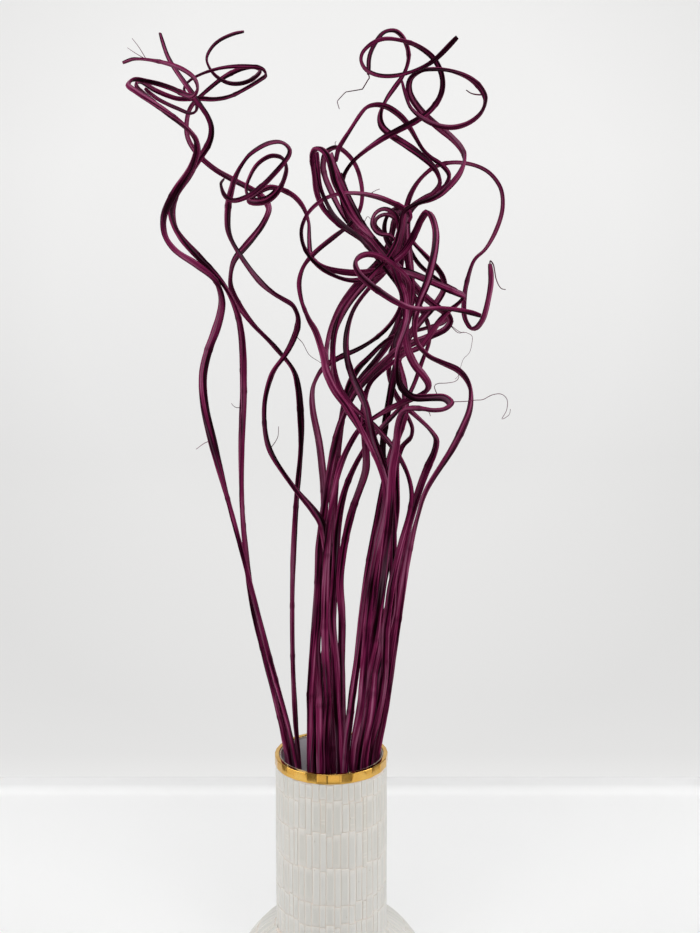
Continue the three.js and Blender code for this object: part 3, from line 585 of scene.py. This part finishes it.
band = turned("polished_band", rounded_corners([
    Vector((LIP_RADIUS + BAND_CLEARANCE, BAND_FOOT)),
    Vector((BAND_RADIUS, BAND_FOOT)),
    Vector((BAND_RADIUS, RIM_HEIGHT)),
    Vector((LIP_RADIUS + BAND_CLEARANCE, RIM_HEIGHT)),
], BAND_EDGE), [brass], BAND_SIDES)
flats = hammer_flats()
# The outer face is moved in to the flats. The inner one, against the lip, stays round.
for vertex in band.data.vertices:
    radius = vertex.co.xy.length
    side = round(math.atan2(vertex.co.y, vertex.co.x) / (2 * math.pi) * BAND_SIDES) % BAND_SIDES
    inward, lean = flats[side]
    share = (radius - LIP_RADIUS) / (BAND_RADIUS - LIP_RADIUS)
    leaning = lean * (vertex.co.z - (BAND_FOOT + RIM_HEIGHT) / 2)
    vertex.co.xy *= 1 + share * (inward - 1 + leaning / radius)
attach(band, "root")
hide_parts("rim_band")


# The stems. Each is one flat strip of a curled plant stalk, steamed round a rod, dried and dyed plum
# right through. It is grooved along both faces, has a knot here and there, and stands on the vase's
# floor. Its course and its turning are read from its solid, ring by ring.

STRIP_WIDTH = 0.006
STRIP_THICKNESS = 0.0034
FACE_GROOVES = {1: [(-0.5, 0.24), (0.08, 0.36), (0.58, 0.22)], -1: [(-0.32, 0.34), (0.36, 0.26)]}
GROOVE_REACH = 0.17
FACE_POINTS = 14
FACE_HALF_SPAN = 0.96
FACE_FLATNESS = 4
EDGE_FULLNESS = 1 / 3
SLIM_FROM = 0.68
SLIM_TO = 0.86
FOOT_AND_TIP_GIRTH = {"left": (1.13, 0.77), "middle": (1.0, 0.97), "right": (1.0, 1.0)}
TIP_ROUNDING = 0.008
TIP_BLUNTNESS = 0.7
PATH_STEP = 0.0022
BEND_WINDOW = 9
KNOT_SPACING = 0.085
KNOT_RISE = 0.00028
SURFACE_RISE = 0.00016
SEED_STEP = 7.3
RING_CORNERS = 4


def strip_rings(node):
    """The centre, broad axis and width of each ring of a strip's solid, foot first."""
    work = bmesh.new()
    work.from_mesh(node.data)
    bmesh.ops.remove_doubles(work, verts=work.verts, dist=1e-5)
    ring = sorted(work.verts, key=lambda vertex: vertex.co.z)[:RING_CORNERS]
    seen = set(ring)
    rings = []
    while ring:
        corners = [vertex.co.copy() for vertex in ring]
        first = corners[0]
        broad = sorted((corner - first for corner in corners[1:]), key=lambda side: side.length)[1]
        if rings and broad.dot(rings[-1][1]) < 0:
            broad.negate()
        centre = sum(corners, Vector()) / RING_CORNERS
        rings.append((centre, broad.normalized(), broad.length))
        following = []
        for vertex in ring:
            for edge in vertex.link_edges:
                other = edge.other_vert(vertex)
                if other not in seen:
                    seen.add(other)
                    following.append(other)
        ring = following
    work.free()
    return rings


def smooth_course(rings):
    """Points a short step apart on a smooth curve through the rings: place, broad axis and scale."""
    places = [np.array(ring[0]) for ring in rings]
    places = [2 * places[0] - places[1], *places, 2 * places[-1] - places[-2]]
    points = []
    for i in range(len(rings) - 1):
        p0, p1, p2, p3 = places[i:i + 4]
        t1 = np.linalg.norm(p1 - p0) ** 0.5
        t2 = t1 + np.linalg.norm(p2 - p1) ** 0.5
        t3 = t2 + np.linalg.norm(p3 - p2) ** 0.5
        steps = max(2, round(np.linalg.norm(p2 - p1) / PATH_STEP))
        last = i == len(rings) - 2
        for step in range(steps + last):
            share = step / steps
            t = t1 + (t2 - t1) * share
            a1 = p0 * (t1 - t) / t1 + p1 * t / t1
            a2 = p1 * (t2 - t) / (t2 - t1) + p2 * (t - t1) / (t2 - t1)
            a3 = p2 * (t3 - t) / (t3 - t2) + p3 * (t - t2) / (t3 - t2)
            b1 = a1 * (t2 - t) / t2 + a2 * t / t2
            b2 = a2 * (t3 - t) / (t3 - t1) + a3 * (t - t1) / (t3 - t1)
            place = b1 * (t2 - t) / (t2 - t1) + b2 * (t - t1) / (t2 - t1)
            broad = rings[i][1].lerp(rings[i + 1][1], share)
            width = rings[i][2] + (rings[i + 1][2] - rings[i][2]) * share
            points.append((Vector(place), broad, width / STRIP_WIDTH))
    return points


def bends(places):
    """How sharply a path bends at each point, in radians per metre, evened out along it."""
    sharp = [0.0]
    for a, b, c in zip(places, places[1:], places[2:]):
        sharp.append((b - a).angle(c - b) / ((c - a).length / 2))
    sharp.append(0.0)
    return np.convolve(sharp, np.ones(BEND_WINDOW) / BEND_WINDOW, mode="same")


def section_curve(name, width, thickness, grooves, face_points):
    """A strip's section: flat with rounded edges, and grooved along its broad faces."""
    points = []
    for face in (1, -1):
        for k in range(face_points):
            x = face * (FACE_HALF_SPAN - 2 * FACE_HALF_SPAN * k / (face_points - 1))
            y = (1 - x ** FACE_FLATNESS) ** EDGE_FULLNESS
            for place, depth in grooves.get(face, []):
                y *= 1 - depth * math.exp(-((x - place) / GROOVE_REACH) ** 2)
            points.append((x * width / 2, face * y * thickness / 2, 0))
        points.append((-face * width / 2, 0, 0))
    curve = bpy.data.curves.new(name, "CURVE")
    curve.dimensions = "3D"
    spline = curve.splines.new("POLY")
    spline.points.add(len(points) - 1)
    for target, point in zip(spline.points, points):
        target.co = (*point, 1)
    spline.use_cyclic_u = True
    return put_in_scene(name, curve)


def marked_path(name, places, broad, columns):
    """A path whose points carry their broad axis and, under each column's name, a number."""
    marked = polyline(name, places)
    for label, values in columns.items():
        marked.attributes.new(label, "FLOAT", "POINT").data.foreach_set("value", values)
    facing = [part for axis in broad for part in axis]
    marked.attributes.new("broad", "FLOAT_VECTOR", "POINT").data.foreach_set("vector", facing)
    return marked


def streak_place(tree, across, per_metre, along, runs_per_metre, shift):
    """The fine place across a strip, and the same with long runs along it, for noise that follows it."""
    fine = add(tree, "ShaderNodeVectorMath", [across, per_metre], operation="MULTIPLY")
    long = add(tree, "ShaderNodeMath", [along, runs_per_metre], operation="MULTIPLY")
    offset = add(tree, "ShaderNodeCombineXYZ", {"X": shift, "Z": long})
    return fine, add(tree, "ShaderNodeVectorMath", [fine, offset], operation="ADD")


# One strip. The section is swept along a path and swells and thins on its way, and its surface is lifted
# at the knots and in small ripples.
strip, given = new_tree("grooved strip", {
    "Section": "Object", "Knot Spacing": "Float", "Knot Rise": "Float", "Surface Rise": "Float",
    "Seed": "Float", "Material": "Material",
})
SWELLS_PER_METRE = 30.0
SWELL_LEAST = 0.87
SWELL_MOST = 1.11
RIPPLES_PER_METRE = (700.0, 700.0, 0.0)
RIPPLE_RUNS_PER_METRE = 45.0
KNOT_REACH = 0.035  # of the knots' spacing
along = add(strip, "GeometryNodeInputNamedAttribute", ["along"], data_type="FLOAT")
scale = add(strip, "GeometryNodeInputNamedAttribute", ["scale"], data_type="FLOAT")
broad = add(strip, "GeometryNodeInputNamedAttribute", ["broad"], data_type="FLOAT_VECTOR")
path = add(strip, "GeometryNodeMeshToCurve", [given["Geometry"]])
tangent = add(strip, "GeometryNodeInputTangent")
thin = add(strip, "ShaderNodeVectorMath", [tangent, broad], operation="CROSS_PRODUCT")
square = add(strip, "ShaderNodeVectorMath", [thin, tangent], operation="CROSS_PRODUCT")
aimed = add(strip, "GeometryNodeSetCurveNormal", {"Curve": path, "Normal": square}, mode="FREE")
swell_place = add(strip, "ShaderNodeMath", [along, SWELLS_PER_METRE, given["Seed"]],
                  operation="MULTIPLY_ADD")
swell = add(strip, "ShaderNodeTexNoise", {"W": swell_place, "Scale": 1.0}, noise_dimensions="1D")
swollen = add(strip, "ShaderNodeMapRange", {
    "Value": swell, "To Min": SWELL_LEAST, "To Max": SWELL_MOST,
})
section = add(strip, "GeometryNodeObjectInfo", [given["Section"]]).outputs["Geometry"]
section_place = add(strip, "GeometryNodeInputPosition")
marked = add(strip, "GeometryNodeStoreNamedAttribute", {
    "Geometry": section, "Name": "across", "Value": section_place,
}, data_type="FLOAT_VECTOR", domain="POINT")
swept = add(strip, "GeometryNodeCurveToMesh", {
    "Curve": aimed, "Profile Curve": marked, "Fill Caps": True,
    "Scale": add(strip, "ShaderNodeMath", [scale, swollen], operation="MULTIPLY"),
})
knot_run = add(strip, "ShaderNodeMath", [along, given["Knot Spacing"]], operation="DIVIDE")
knot_place = add(strip, "ShaderNodeMath", [knot_run, given["Seed"]], operation="ADD")
knots = add(strip, "ShaderNodeTexVoronoi", {"W": knot_place, "Scale": 1.0}, voronoi_dimensions="1D")
knot = add(strip, "ShaderNodeMapRange", {
    "Value": knots, "From Max": KNOT_REACH, "To Min": 1.0, "To Max": 0.0,
}, interpolation_type="SMOOTHSTEP")
across = add(strip, "GeometryNodeInputNamedAttribute", ["across"], data_type="FLOAT_VECTOR")
ripple_place = streak_place(strip, across, RIPPLES_PER_METRE, along, RIPPLE_RUNS_PER_METRE,
                            given["Seed"])[1]
ripple = add(strip, "ShaderNodeTexNoise", {"Vector": ripple_place, "Scale": 1.0})
level = add(strip, "ShaderNodeMath", [ripple, 0.5], operation="SUBTRACT")
rippled = add(strip, "ShaderNodeMath", [level, given["Surface Rise"]], operation="MULTIPLY")
rise = add(strip, "ShaderNodeMath", [knot, given["Knot Rise"], rippled], operation="MULTIPLY_ADD")
outward = add(strip, "GeometryNodeInputNormal")
lift = add(strip, "ShaderNodeVectorMath", {"Vector": outward, "Scale": rise}, operation="SCALE")
risen = add(strip, "GeometryNodeSetPosition", {"Geometry": swept, "Offset": lift})
knotted = add(strip, "GeometryNodeStoreNamedAttribute", {
    "Geometry": risen, "Name": "knot", "Value": knot,
}, data_type="FLOAT", domain="POINT")
whole = add(strip, "GeometryNodeRealizeInstances", [knotted])
add(strip, "NodeGroupOutput", [
    add(strip, "GeometryNodeSetMaterial", {"Geometry": whole, "Material": given["Material"]}),
])

# Dried stalk, dyed plum: the dye runs in long streaks, nearly black where the stalk took it up and
# reddish between, and it is greyish in worn patches here and there. Where it bends hard it is painted
# greyer as well, a painted sheen. It shines very little, and its fine fuzz gives the edges a faint
# bloom. The streaks are drawn 2.5 mm wide, because single fibres are too fine to show.
stalk, tree = new_material("plum-dyed dried stalk")
along, bend, lot, knot = [add(tree, "ShaderNodeAttribute", attribute_name=name).outputs["Fac"]
                          for name in ("along", "bend", "lot", "knot")]
across = add(tree, "ShaderNodeAttribute", attribute_name="across").outputs["Vector"]
FIBRES_PER_METRE = (400.0, 400.0, 0.0)
FIBRE_RUNS_PER_METRE = 13.0
LOT_SHIFT = 90.0
FIBRES_SHOW = 0.9
BLOTCHES_PER_METRE = 20.0
BLOTCHES_SHOW = 0.22
DARKENING_PER_METRE = -0.03
WORN_PER_METRE = 12.0
BEND_SHEEN_FROM = 60.0
BEND_SHEEN_TO = 200.0
BEND_SHEEN = 0.16
GREYING_FROM = 0.56
GREYING_TO = 0.76
MOST_GREYING = 0.75
KNOT_DARKENING = 0.4
fibre_lot = add(tree, "ShaderNodeMath", [lot, LOT_SHIFT], operation="MULTIPLY")
fibre_across, fibre_place = streak_place(tree, across, FIBRES_PER_METRE, along, FIBRE_RUNS_PER_METRE,
                                         fibre_lot)
fibres = add(tree, "ShaderNodeTexNoise", {"Vector": fibre_place, "Scale": 1.0, "Detail": 3.0})
blotch_along = add(tree, "ShaderNodeMath", [along, BLOTCHES_PER_METRE, fibre_lot],
                   operation="MULTIPLY_ADD")
blotches = add(tree, "ShaderNodeTexNoise", {"W": blotch_along, "Scale": 1.0}, noise_dimensions="1D")
streaky = add(tree, "ShaderNodeMath", [fibres, FIBRES_SHOW], operation="MULTIPLY")
mottled = add(tree, "ShaderNodeMath", [blotches, BLOTCHES_SHOW, streaky], operation="MULTIPLY_ADD")
# The stalk thins towards its tip, and the dye took darker there.
dye = add(tree, "ShaderNodeMath", [along, DARKENING_PER_METRE, mottled], operation="MULTIPLY_ADD")
plum = add(tree, "ShaderNodeValToRGB", [dye], stops=[
    (0.41, "#0f0004"), (0.48, "#2c0419"), (0.53, "#541034"), (0.61, "#742149"), (0.71, "#945373"),
])
worn_along = add(tree, "ShaderNodeMath", [along, WORN_PER_METRE, lot], operation="MULTIPLY_ADD")
worn_offset = add(tree, "ShaderNodeCombineXYZ", {"Y": fibre_lot, "Z": worn_along})
worn_place = add(tree, "ShaderNodeVectorMath", [fibre_across, worn_offset], operation="ADD")
worn = add(tree, "ShaderNodeTexNoise", {"Vector": worn_place, "Scale": 1.0})
# Hard bends are painted greyer, a painted sheen, added to the random worn patches.
bend_sheen = add(tree, "ShaderNodeMapRange", [bend, BEND_SHEEN_FROM, BEND_SHEEN_TO, 0.0, BEND_SHEEN])
wear_and_bend_sheen = add(tree, "ShaderNodeMath", [worn, bend_sheen], operation="ADD")
wear_and_bend_sheen_share = add(tree, "ShaderNodeMapRange", [wear_and_bend_sheen, GREYING_FROM, GREYING_TO, 0.0, MOST_GREYING])
greyed_by_wear_and_sheen = add(tree, "ShaderNodeMix", [wear_and_bend_sheen_share, plum, srgb("#6c4c5e")], data_type="RGBA")
dark_knot = add(tree, "ShaderNodeMath", [knot, KNOT_DARKENING], operation="MULTIPLY")
dyed_stalk = add(tree, "ShaderNodeBsdfPrincipled", {
    "Base Color": add(tree, "ShaderNodeMix", [dark_knot, greyed_by_wear_and_sheen, srgb("#2a0316")], data_type="RGBA"),
    "Roughness": add(tree, "ShaderNodeMapRange", {"Value": fibres, "To Min": 0.3, "To Max": 0.5}),
    "Specular IOR Level": 0.02,
    "Sheen Weight": 0.3,
    "Sheen Roughness": 0.35,
    "Sheen Tint": srgb("#a83c74"),
    "Normal": add(tree, "ShaderNodeBump", {"Height": fibres, "Strength": 0.6, "Distance": 0.0004}),
})
add(tree, "ShaderNodeOutputMaterial", [dyed_stalk])

section_piece = section_curve("strip_section", STRIP_WIDTH, STRIP_THICKNESS, FACE_GROOVES, FACE_POINTS)
stem_paths = {}
for number, name in enumerate(sorted(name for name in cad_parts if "stem" in name)):
    chance = random.Random(number)
    points = smooth_course(strip_rings(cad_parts[name]))
    places = [point[0] for point in points]
    stem_paths[name] = places
    run = [0.0]
    for a, b in zip(places, places[1:]):
        run.append(run[-1] + (b - a).length)
    foot_girth, tip_girth = FOOT_AND_TIP_GIRTH[name.split("_")[0]]
    # A strip's scale follows its solid's width, its group's girth and the blunt rounding of its tip.
    scales = []
    for point, r in zip(points, run):
        slim = min(max((r - SLIM_FROM) / (SLIM_TO - SLIM_FROM), 0), 1)
        girth = foot_girth + (tip_girth - foot_girth) * slim
        to_tip = min((run[-1] - r) / TIP_ROUNDING, 1)
        scales.append(point[2] * girth * (TIP_BLUNTNESS + (1 - TIP_BLUNTNESS) * math.sqrt(to_tip)))
    start = marked_path(name + "_path", places, [point[1] for point in points], {
        "along": run, "scale": scales, "bend": bends(places), "lot": [chance.random()] * len(points),
    })
    mesh = grown(name + "_strip", start, strip, {
        "Section": section_piece, "Knot Spacing": KNOT_SPACING, "Knot Rise": KNOT_RISE,
        "Surface Rise": SURFACE_RISE, "Seed": SEED_STEP * number, "Material": stalk,
    })
    mesh.shade_smooth()
    piece = put_in_scene(name + "_strip", mesh)
    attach(piece, "root")
    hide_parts(name)
bpy.data.objects.remove(section_piece)


# Loose fibres. Where a stalk was bent or rubbed, a thread of it has split off. It is still part of the
# stalk at one end and springs clear with the other. The stout ones have the stalk's own colour, and the
# thin ones are only skin.

FIBRE_FACE_POINTS = 3
FIBRE_FLATNESS = 0.8
FIBRE_STEP = 0.0015
FIBRE_SLACK = 0.0015
FIBRE_TAPER = 0.45
LOT_SWING = 0.4
STOUT_FIBRE = 0.9
MM_PER_METRE = 1000
EYE = Vector((0.015, -0.674, 0.539))
# Each fibre: its width in millimetres, then its points, across and up in millimetres, as the eye sees
# them against the upright plane through the vase's axis. The first point lies on a stalk.
FIBRES = [
    (1.2, [(30.3, 798.8), (29.8, 795.6), (28.9, 794.3), (25, 788), (23.4, 787),
           (13.5, 785.3), (11.2, 784.5), (6, 779), (5.3, 777.5), (6.8, 772.3)]),
    (1.6, [(118, 784), (113, 783), (108, 784), (104, 786.5)]),
    (0.7, [(-139.5, 811), (-146, 818), (-151.4, 825)]),
    (0.7, [(-141.8, 812), (-149, 814), (-155, 818)]),
    (0.8, [(84.5, 553), (81, 560), (84, 562.5), (90, 562.8), (97, 564), (100, 567), (99.5, 571)]),
    (0.8, [(94.5, 548.5), (105, 548.5), (113, 549.5), (119.2, 550), (126.2, 553.5), (133.2, 554.3),
           (138, 550), (137.8, 541.8), (134.2, 534.8), (139.7, 537.9), (140.8, 542.6)]),
    (1.4, [(122.5, 654), (123.8, 657.4), (126.2, 654.5), (127.4, 649), (128.4, 643.7), (130.5, 638.6),
           (133, 635.8), (136, 635.3)]),
    (0.7, [(-23.5, 599), (-22, 594), (-17, 585), (-10, 580), (-7, 578)]),
    (0.8, [(-96, 518), (-99, 516), (-106, 511)]),
    (0.8, [(-45, 512), (-42, 520), (-41, 529)]),
    (0.8, [(-72, 543), (-75, 544), (-78, 547)]),
    (0.8, [(31, 710.5), (35, 711), (38, 712)]),
    (0.8, [(27, 687), (28.5, 691), (31.5, 688.5)]),
    (0.9, [(95, 606), (99, 602), (104, 602.5)]),
    (0.8, [(76, 541), (77.5, 539), (78, 537)]),
    (0.8, [(-48, 714), (-47, 715), (-46.5, 716)]),
    (0.8, [(3, 746), (3.5, 747), (4.5, 748)]),
    (0.6, [(94.9, 607.1), (100.7, 602.5), (105.4, 602.1), (110.1, 599.4), (110.2, 594.3),
           (108.3, 586.6), (103.8, 581.8), (101.7, 576.1), (99.5, 568.3), (97.1, 566)]),
]


def nearest_stalk_point(spot):
    """The point of all the stalks that the eye sees nearest to a spot on that plane."""
    def gap(place):
        seen = EYE + (place - EYE) * (EYE.y / (EYE.y - place.y))
        return (seen - spot).length

    return min((place for places in stem_paths.values() for place in places), key=gap)


def eased(points):
    """Points a short step apart on a smooth curve through a few."""
    whole = [2 * points[0] - points[1], *points, 2 * points[-1] - points[-2]]
    smooth = []
    for p0, p1, p2, p3 in zip(whole, whole[1:], whole[2:], whole[3:]):
        steps = max(2, round((p2 - p1).length / FIBRE_STEP))
        for step in range(steps):
            t = step / steps
            smooth.append(0.5 * (2 * p1 + (p2 - p0) * t + (2 * p0 - 5 * p1 + 4 * p2 - p3) * t ** 2
                                 + (3 * p1 - p0 - 3 * p2 + p3) * t ** 3))
    return smooth + [points[-1]]


# Split skin, dyed plum: it is so thin that it looks a paler mauve, lighter and darker every 4 mm.
skin, tree = new_material("plum-dyed split skin")
along = add(tree, "ShaderNodeAttribute", attribute_name="along").outputs["Fac"]
TINTS_PER_METRE = 250.0
tint_place = add(tree, "ShaderNodeMath", [along, TINTS_PER_METRE], operation="MULTIPLY")
tints = add(tree, "ShaderNodeTexNoise", {"W": tint_place, "Scale": 1.0}, noise_dimensions="1D")
split_skin = add(tree, "ShaderNodeBsdfPrincipled", {
    "Base Color": add(tree, "ShaderNodeValToRGB", [tints], stops=[(0.35, "#6a2c4c"), (0.65, "#a06c84")]),
    "Roughness": 0.5,
    "Specular IOR Level": 0.04,
})
add(tree, "ShaderNodeOutputMaterial", [split_skin])

fibre_meshes = []
fibre_thickness = STRIP_WIDTH * FIBRE_FLATNESS
fibre_section = section_curve("fibre_section", STRIP_WIDTH, fibre_thickness, {}, FIBRE_FACE_POINTS)
for number, (width, marks) in enumerate(FIBRES):
    spots = [Vector((across / MM_PER_METRE, 0, up / MM_PER_METRE)) for across, up in marks]
    points = [nearest_stalk_point(spots[0])]
    for step, spot in enumerate(spots[1:], 1):
        depth = points[0].y - FIBRE_SLACK * step / len(spots)
        points.append(EYE + (spot - EYE) * ((EYE.y - depth) / EYE.y))
    places = eased(points)
    count = len(places)
    root_scale = width / MM_PER_METRE / STRIP_WIDTH
    start = marked_path(f"fibre_{number}", places, [(0.0, 1.0, 0.0)] * count, {
        "along": [FIBRE_STEP * k for k in range(count)],
        "scale": [root_scale * (1 - FIBRE_TAPER * k / count) for k in range(count)],
        "bend": [0.0] * count,
        "lot": [0.5 + LOT_SWING * math.sin(number)] * count,
    })
    fibre_meshes.append(grown(f"fibre_{number}", start, strip, {
        "Section": fibre_section, "Knot Spacing": 1.0, "Knot Rise": 0.0, "Surface Rise": 0.0,
        "Seed": float(number), "Material": skin if width < STOUT_FIBRE else stalk,
    }))
threads = put_in_scene("loose_fibres", joined("loose_fibres", fibre_meshes))
threads.data.shade_smooth()
bpy.data.objects.remove(fibre_section)
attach(threads, "root")


# The studio. A pale table top has its back edge turned up, and well behind it hangs a white backdrop
# that glows on its own, painted light in place of a sheet lit from behind. One large soft light hangs
# above and in front, and one stands at each side.

TABLE_FRONT = -0.45
TABLE_BACK = 0.525
TABLE_HALF_WIDTH = 0.64
UPTURN = 0.02
UPTURN_STEPS = 8
BACKDROP_PLACE = 1.6
BACKDROP_HALF_WIDTH = 1.7
BACKDROP_FOOT = -0.9
BACKDROP_TOP = 2.5

# White paint, rolled and matt: it spreads the light evenly. The upturn is painted a little greyer,
# a painted shade where the table turns up.
painted, tree = new_material("matt white paint")
place, height = place_and_height(tree)
upturn_painted_shade = add(tree, "ShaderNodeMapRange", [height, 0.0, UPTURN / 2])
paint_and_upturn_shade = add(tree, "ShaderNodeMix", [upturn_painted_shade, srgb("#fbfbfb"), srgb("#dcdcdc")], data_type="RGBA")
paint = add(tree, "ShaderNodeBsdfPrincipled", {"Base Color": paint_and_upturn_shade, "Roughness": 0.7})
add(tree, "ShaderNodeOutputMaterial", [paint])
profile = [(TABLE_FRONT, 0.0)]
for step in range(UPTURN_STEPS + 1):
    angle = math.pi / 2 * step / UPTURN_STEPS
    profile.append((TABLE_BACK - UPTURN * (1 - math.sin(angle)), UPTURN * (1 - math.cos(angle))))
corners = [(side * TABLE_HALF_WIDTH, y, z) for y, z in profile for side in (-1, 1)]
table_faces = [(2 * i, 2 * i + 1, 2 * i + 3, 2 * i + 2) for i in range(len(profile) - 1)]
table = new_mesh("table_top", corners, faces=table_faces, materials=[painted])
table.shade_smooth()
put_in_scene("table_top", table)

# Cloth glowing with painted light, as if lit from behind: painted brighter at its foot and dimmer
# out from its middle.
cloth, tree = new_material("cloth glowing with painted light")
place, height = place_and_height(tree)
GLOW_FOOT = -0.5
GLOW_TOP = 1.5
GLOW_MIDDLE = (0.0, BACKDROP_PLACE, 0.9)
up = add(tree, "ShaderNodeMapRange", [height, GLOW_FOOT, GLOW_TOP])
off_middle = add(tree, "ShaderNodeVectorMath", [place, GLOW_MIDDLE], operation="DISTANCE")
painted_glow = add(tree, "ShaderNodeBsdfPrincipled", {
    "Base Color": srgb("#909090"),
    "Roughness": 0.9,
    "Emission Color": add(tree, "ShaderNodeValToRGB", [up], stops=[
        (0.02, "#dddddd"), (0.06, "#d4d4d4"), (0.14, "#cfcfcf"), (0.46, "#c8c8c8"), (0.85, "#d3d3d3"),
    ]),
    "Emission Strength": add(tree, "ShaderNodeMapRange", {
        "Value": off_middle, "From Min": 0.75, "From Max": 1.3, "To Min": 1.0, "To Max": 0.9,
    }),
})
add(tree, "ShaderNodeOutputMaterial", [painted_glow])
corners = [(x, BACKDROP_PLACE, z) for z in (BACKDROP_FOOT, BACKDROP_TOP)
           for x in (-BACKDROP_HALF_WIDTH, BACKDROP_HALF_WIDTH)]
sheet = new_mesh("backdrop", corners, faces=[(0, 1, 3, 2)], materials=[cloth])
put_in_scene("backdrop", sheet)


def soft_light(name, place, aim, width, height, watts, hex_colour):
    """A soft rectangular light."""
    light = bpy.data.lights.new(name, "AREA")
    light.shape = "RECTANGLE"
    light.size = width
    light.size_y = height
    light.energy = watts
    light.color = srgb(hex_colour)[:3]
    lamp = put_in_scene(name, light)
    lamp.matrix_world = (Matrix.Translation(place)
                         @ (Vector(aim) - Vector(place)).to_track_quat("-Z", "Y").to_matrix().to_4x4())


soft_light("overhead", place=(0, -1.15, 2.2), aim=(0, 0, 0.3), width=1.8, height=1.4, watts=27,
           hex_colour="#fffefc")
for side in (-1, 1):
    soft_light("fill", place=(side * 1.9, -0.6, 0.9), aim=(0, 0, 0.4), width=1.0, height=1.6, watts=21.5,
               hex_colour="#ffffff")
world = bpy.data.worlds.new("room light")
bpy.context.scene.world = world
world.use_nodes = True
room = world.node_tree
room.nodes.clear()
outlook = add(room, "ShaderNodeTexCoord").outputs["Generated"]
height = add(room, "ShaderNodeSeparateXYZ", [outlook]).outputs["Z"]
# The room is dark below the table top and light above it. Its floor lies in light and shade, bay by
# bay, and the brass mirrors that as upright bars.
ROOM_LIGHT = 0.3
BAY_LIGHT = 1.2
FLOOR_BAYS = 24.0
BAY_EDGE = (0.45, 0.55)
DARK_BELOW = -0.45
LIGHT_ABOVE = 0.1
FLOOR_NEAR_EDGE = (-0.5, -0.46)
FLOOR_FAR_EDGE = (-0.24, -0.28)
upward = add(room, "ShaderNodeMapRange", [height, DARK_BELOW, LIGHT_ABOVE])
room_colour = add(room, "ShaderNodeMix", [upward, srgb("#57503f"), srgb("#f2f4f6")], data_type="RGBA")
turn = add(room, "ShaderNodeTexGradient", [outlook], gradient_type="RADIAL").outputs["Fac"]
bays = add(room, "ShaderNodeMath", [turn, FLOOR_BAYS], operation="MULTIPLY")
bay_light = add(room, "ShaderNodeTexNoise", {
    "W": bays, "Scale": 1.0, "Detail": 0.0,
}, noise_dimensions="1D")
lit = add(room, "ShaderNodeMapRange", [bay_light, *BAY_EDGE, 0.0, BAY_LIGHT])
near_edge = add(room, "ShaderNodeMapRange", [height, *FLOOR_NEAR_EDGE])
far_edge = add(room, "ShaderNodeMapRange", [height, *FLOOR_FAR_EDGE])
on_floor = add(room, "ShaderNodeMath", [near_edge, far_edge], operation="MULTIPLY")
room_light = add(room, "ShaderNodeMath", [lit, on_floor, ROOM_LIGHT], operation="MULTIPLY_ADD")
room_tone = add(room, "ShaderNodeMix", [on_floor, room_colour, srgb("#e8dfca")], data_type="RGBA")
add(room, "ShaderNodeOutputWorld", [add(room, "ShaderNodeBackground", [room_tone, room_light])])

LOOKING_DOWN = 3.53
LENS = 33.1
lens = bpy.data.cameras.new("camera")
lens.lens = LENS
camera = put_in_scene("camera", lens)
camera.location = EYE
camera.rotation_euler = (math.radians(90 - LOOKING_DOWN), 0, 0)
bpy.context.scene.camera = camera
bpy.context.scene.view_settings.view_transform = "Standard"
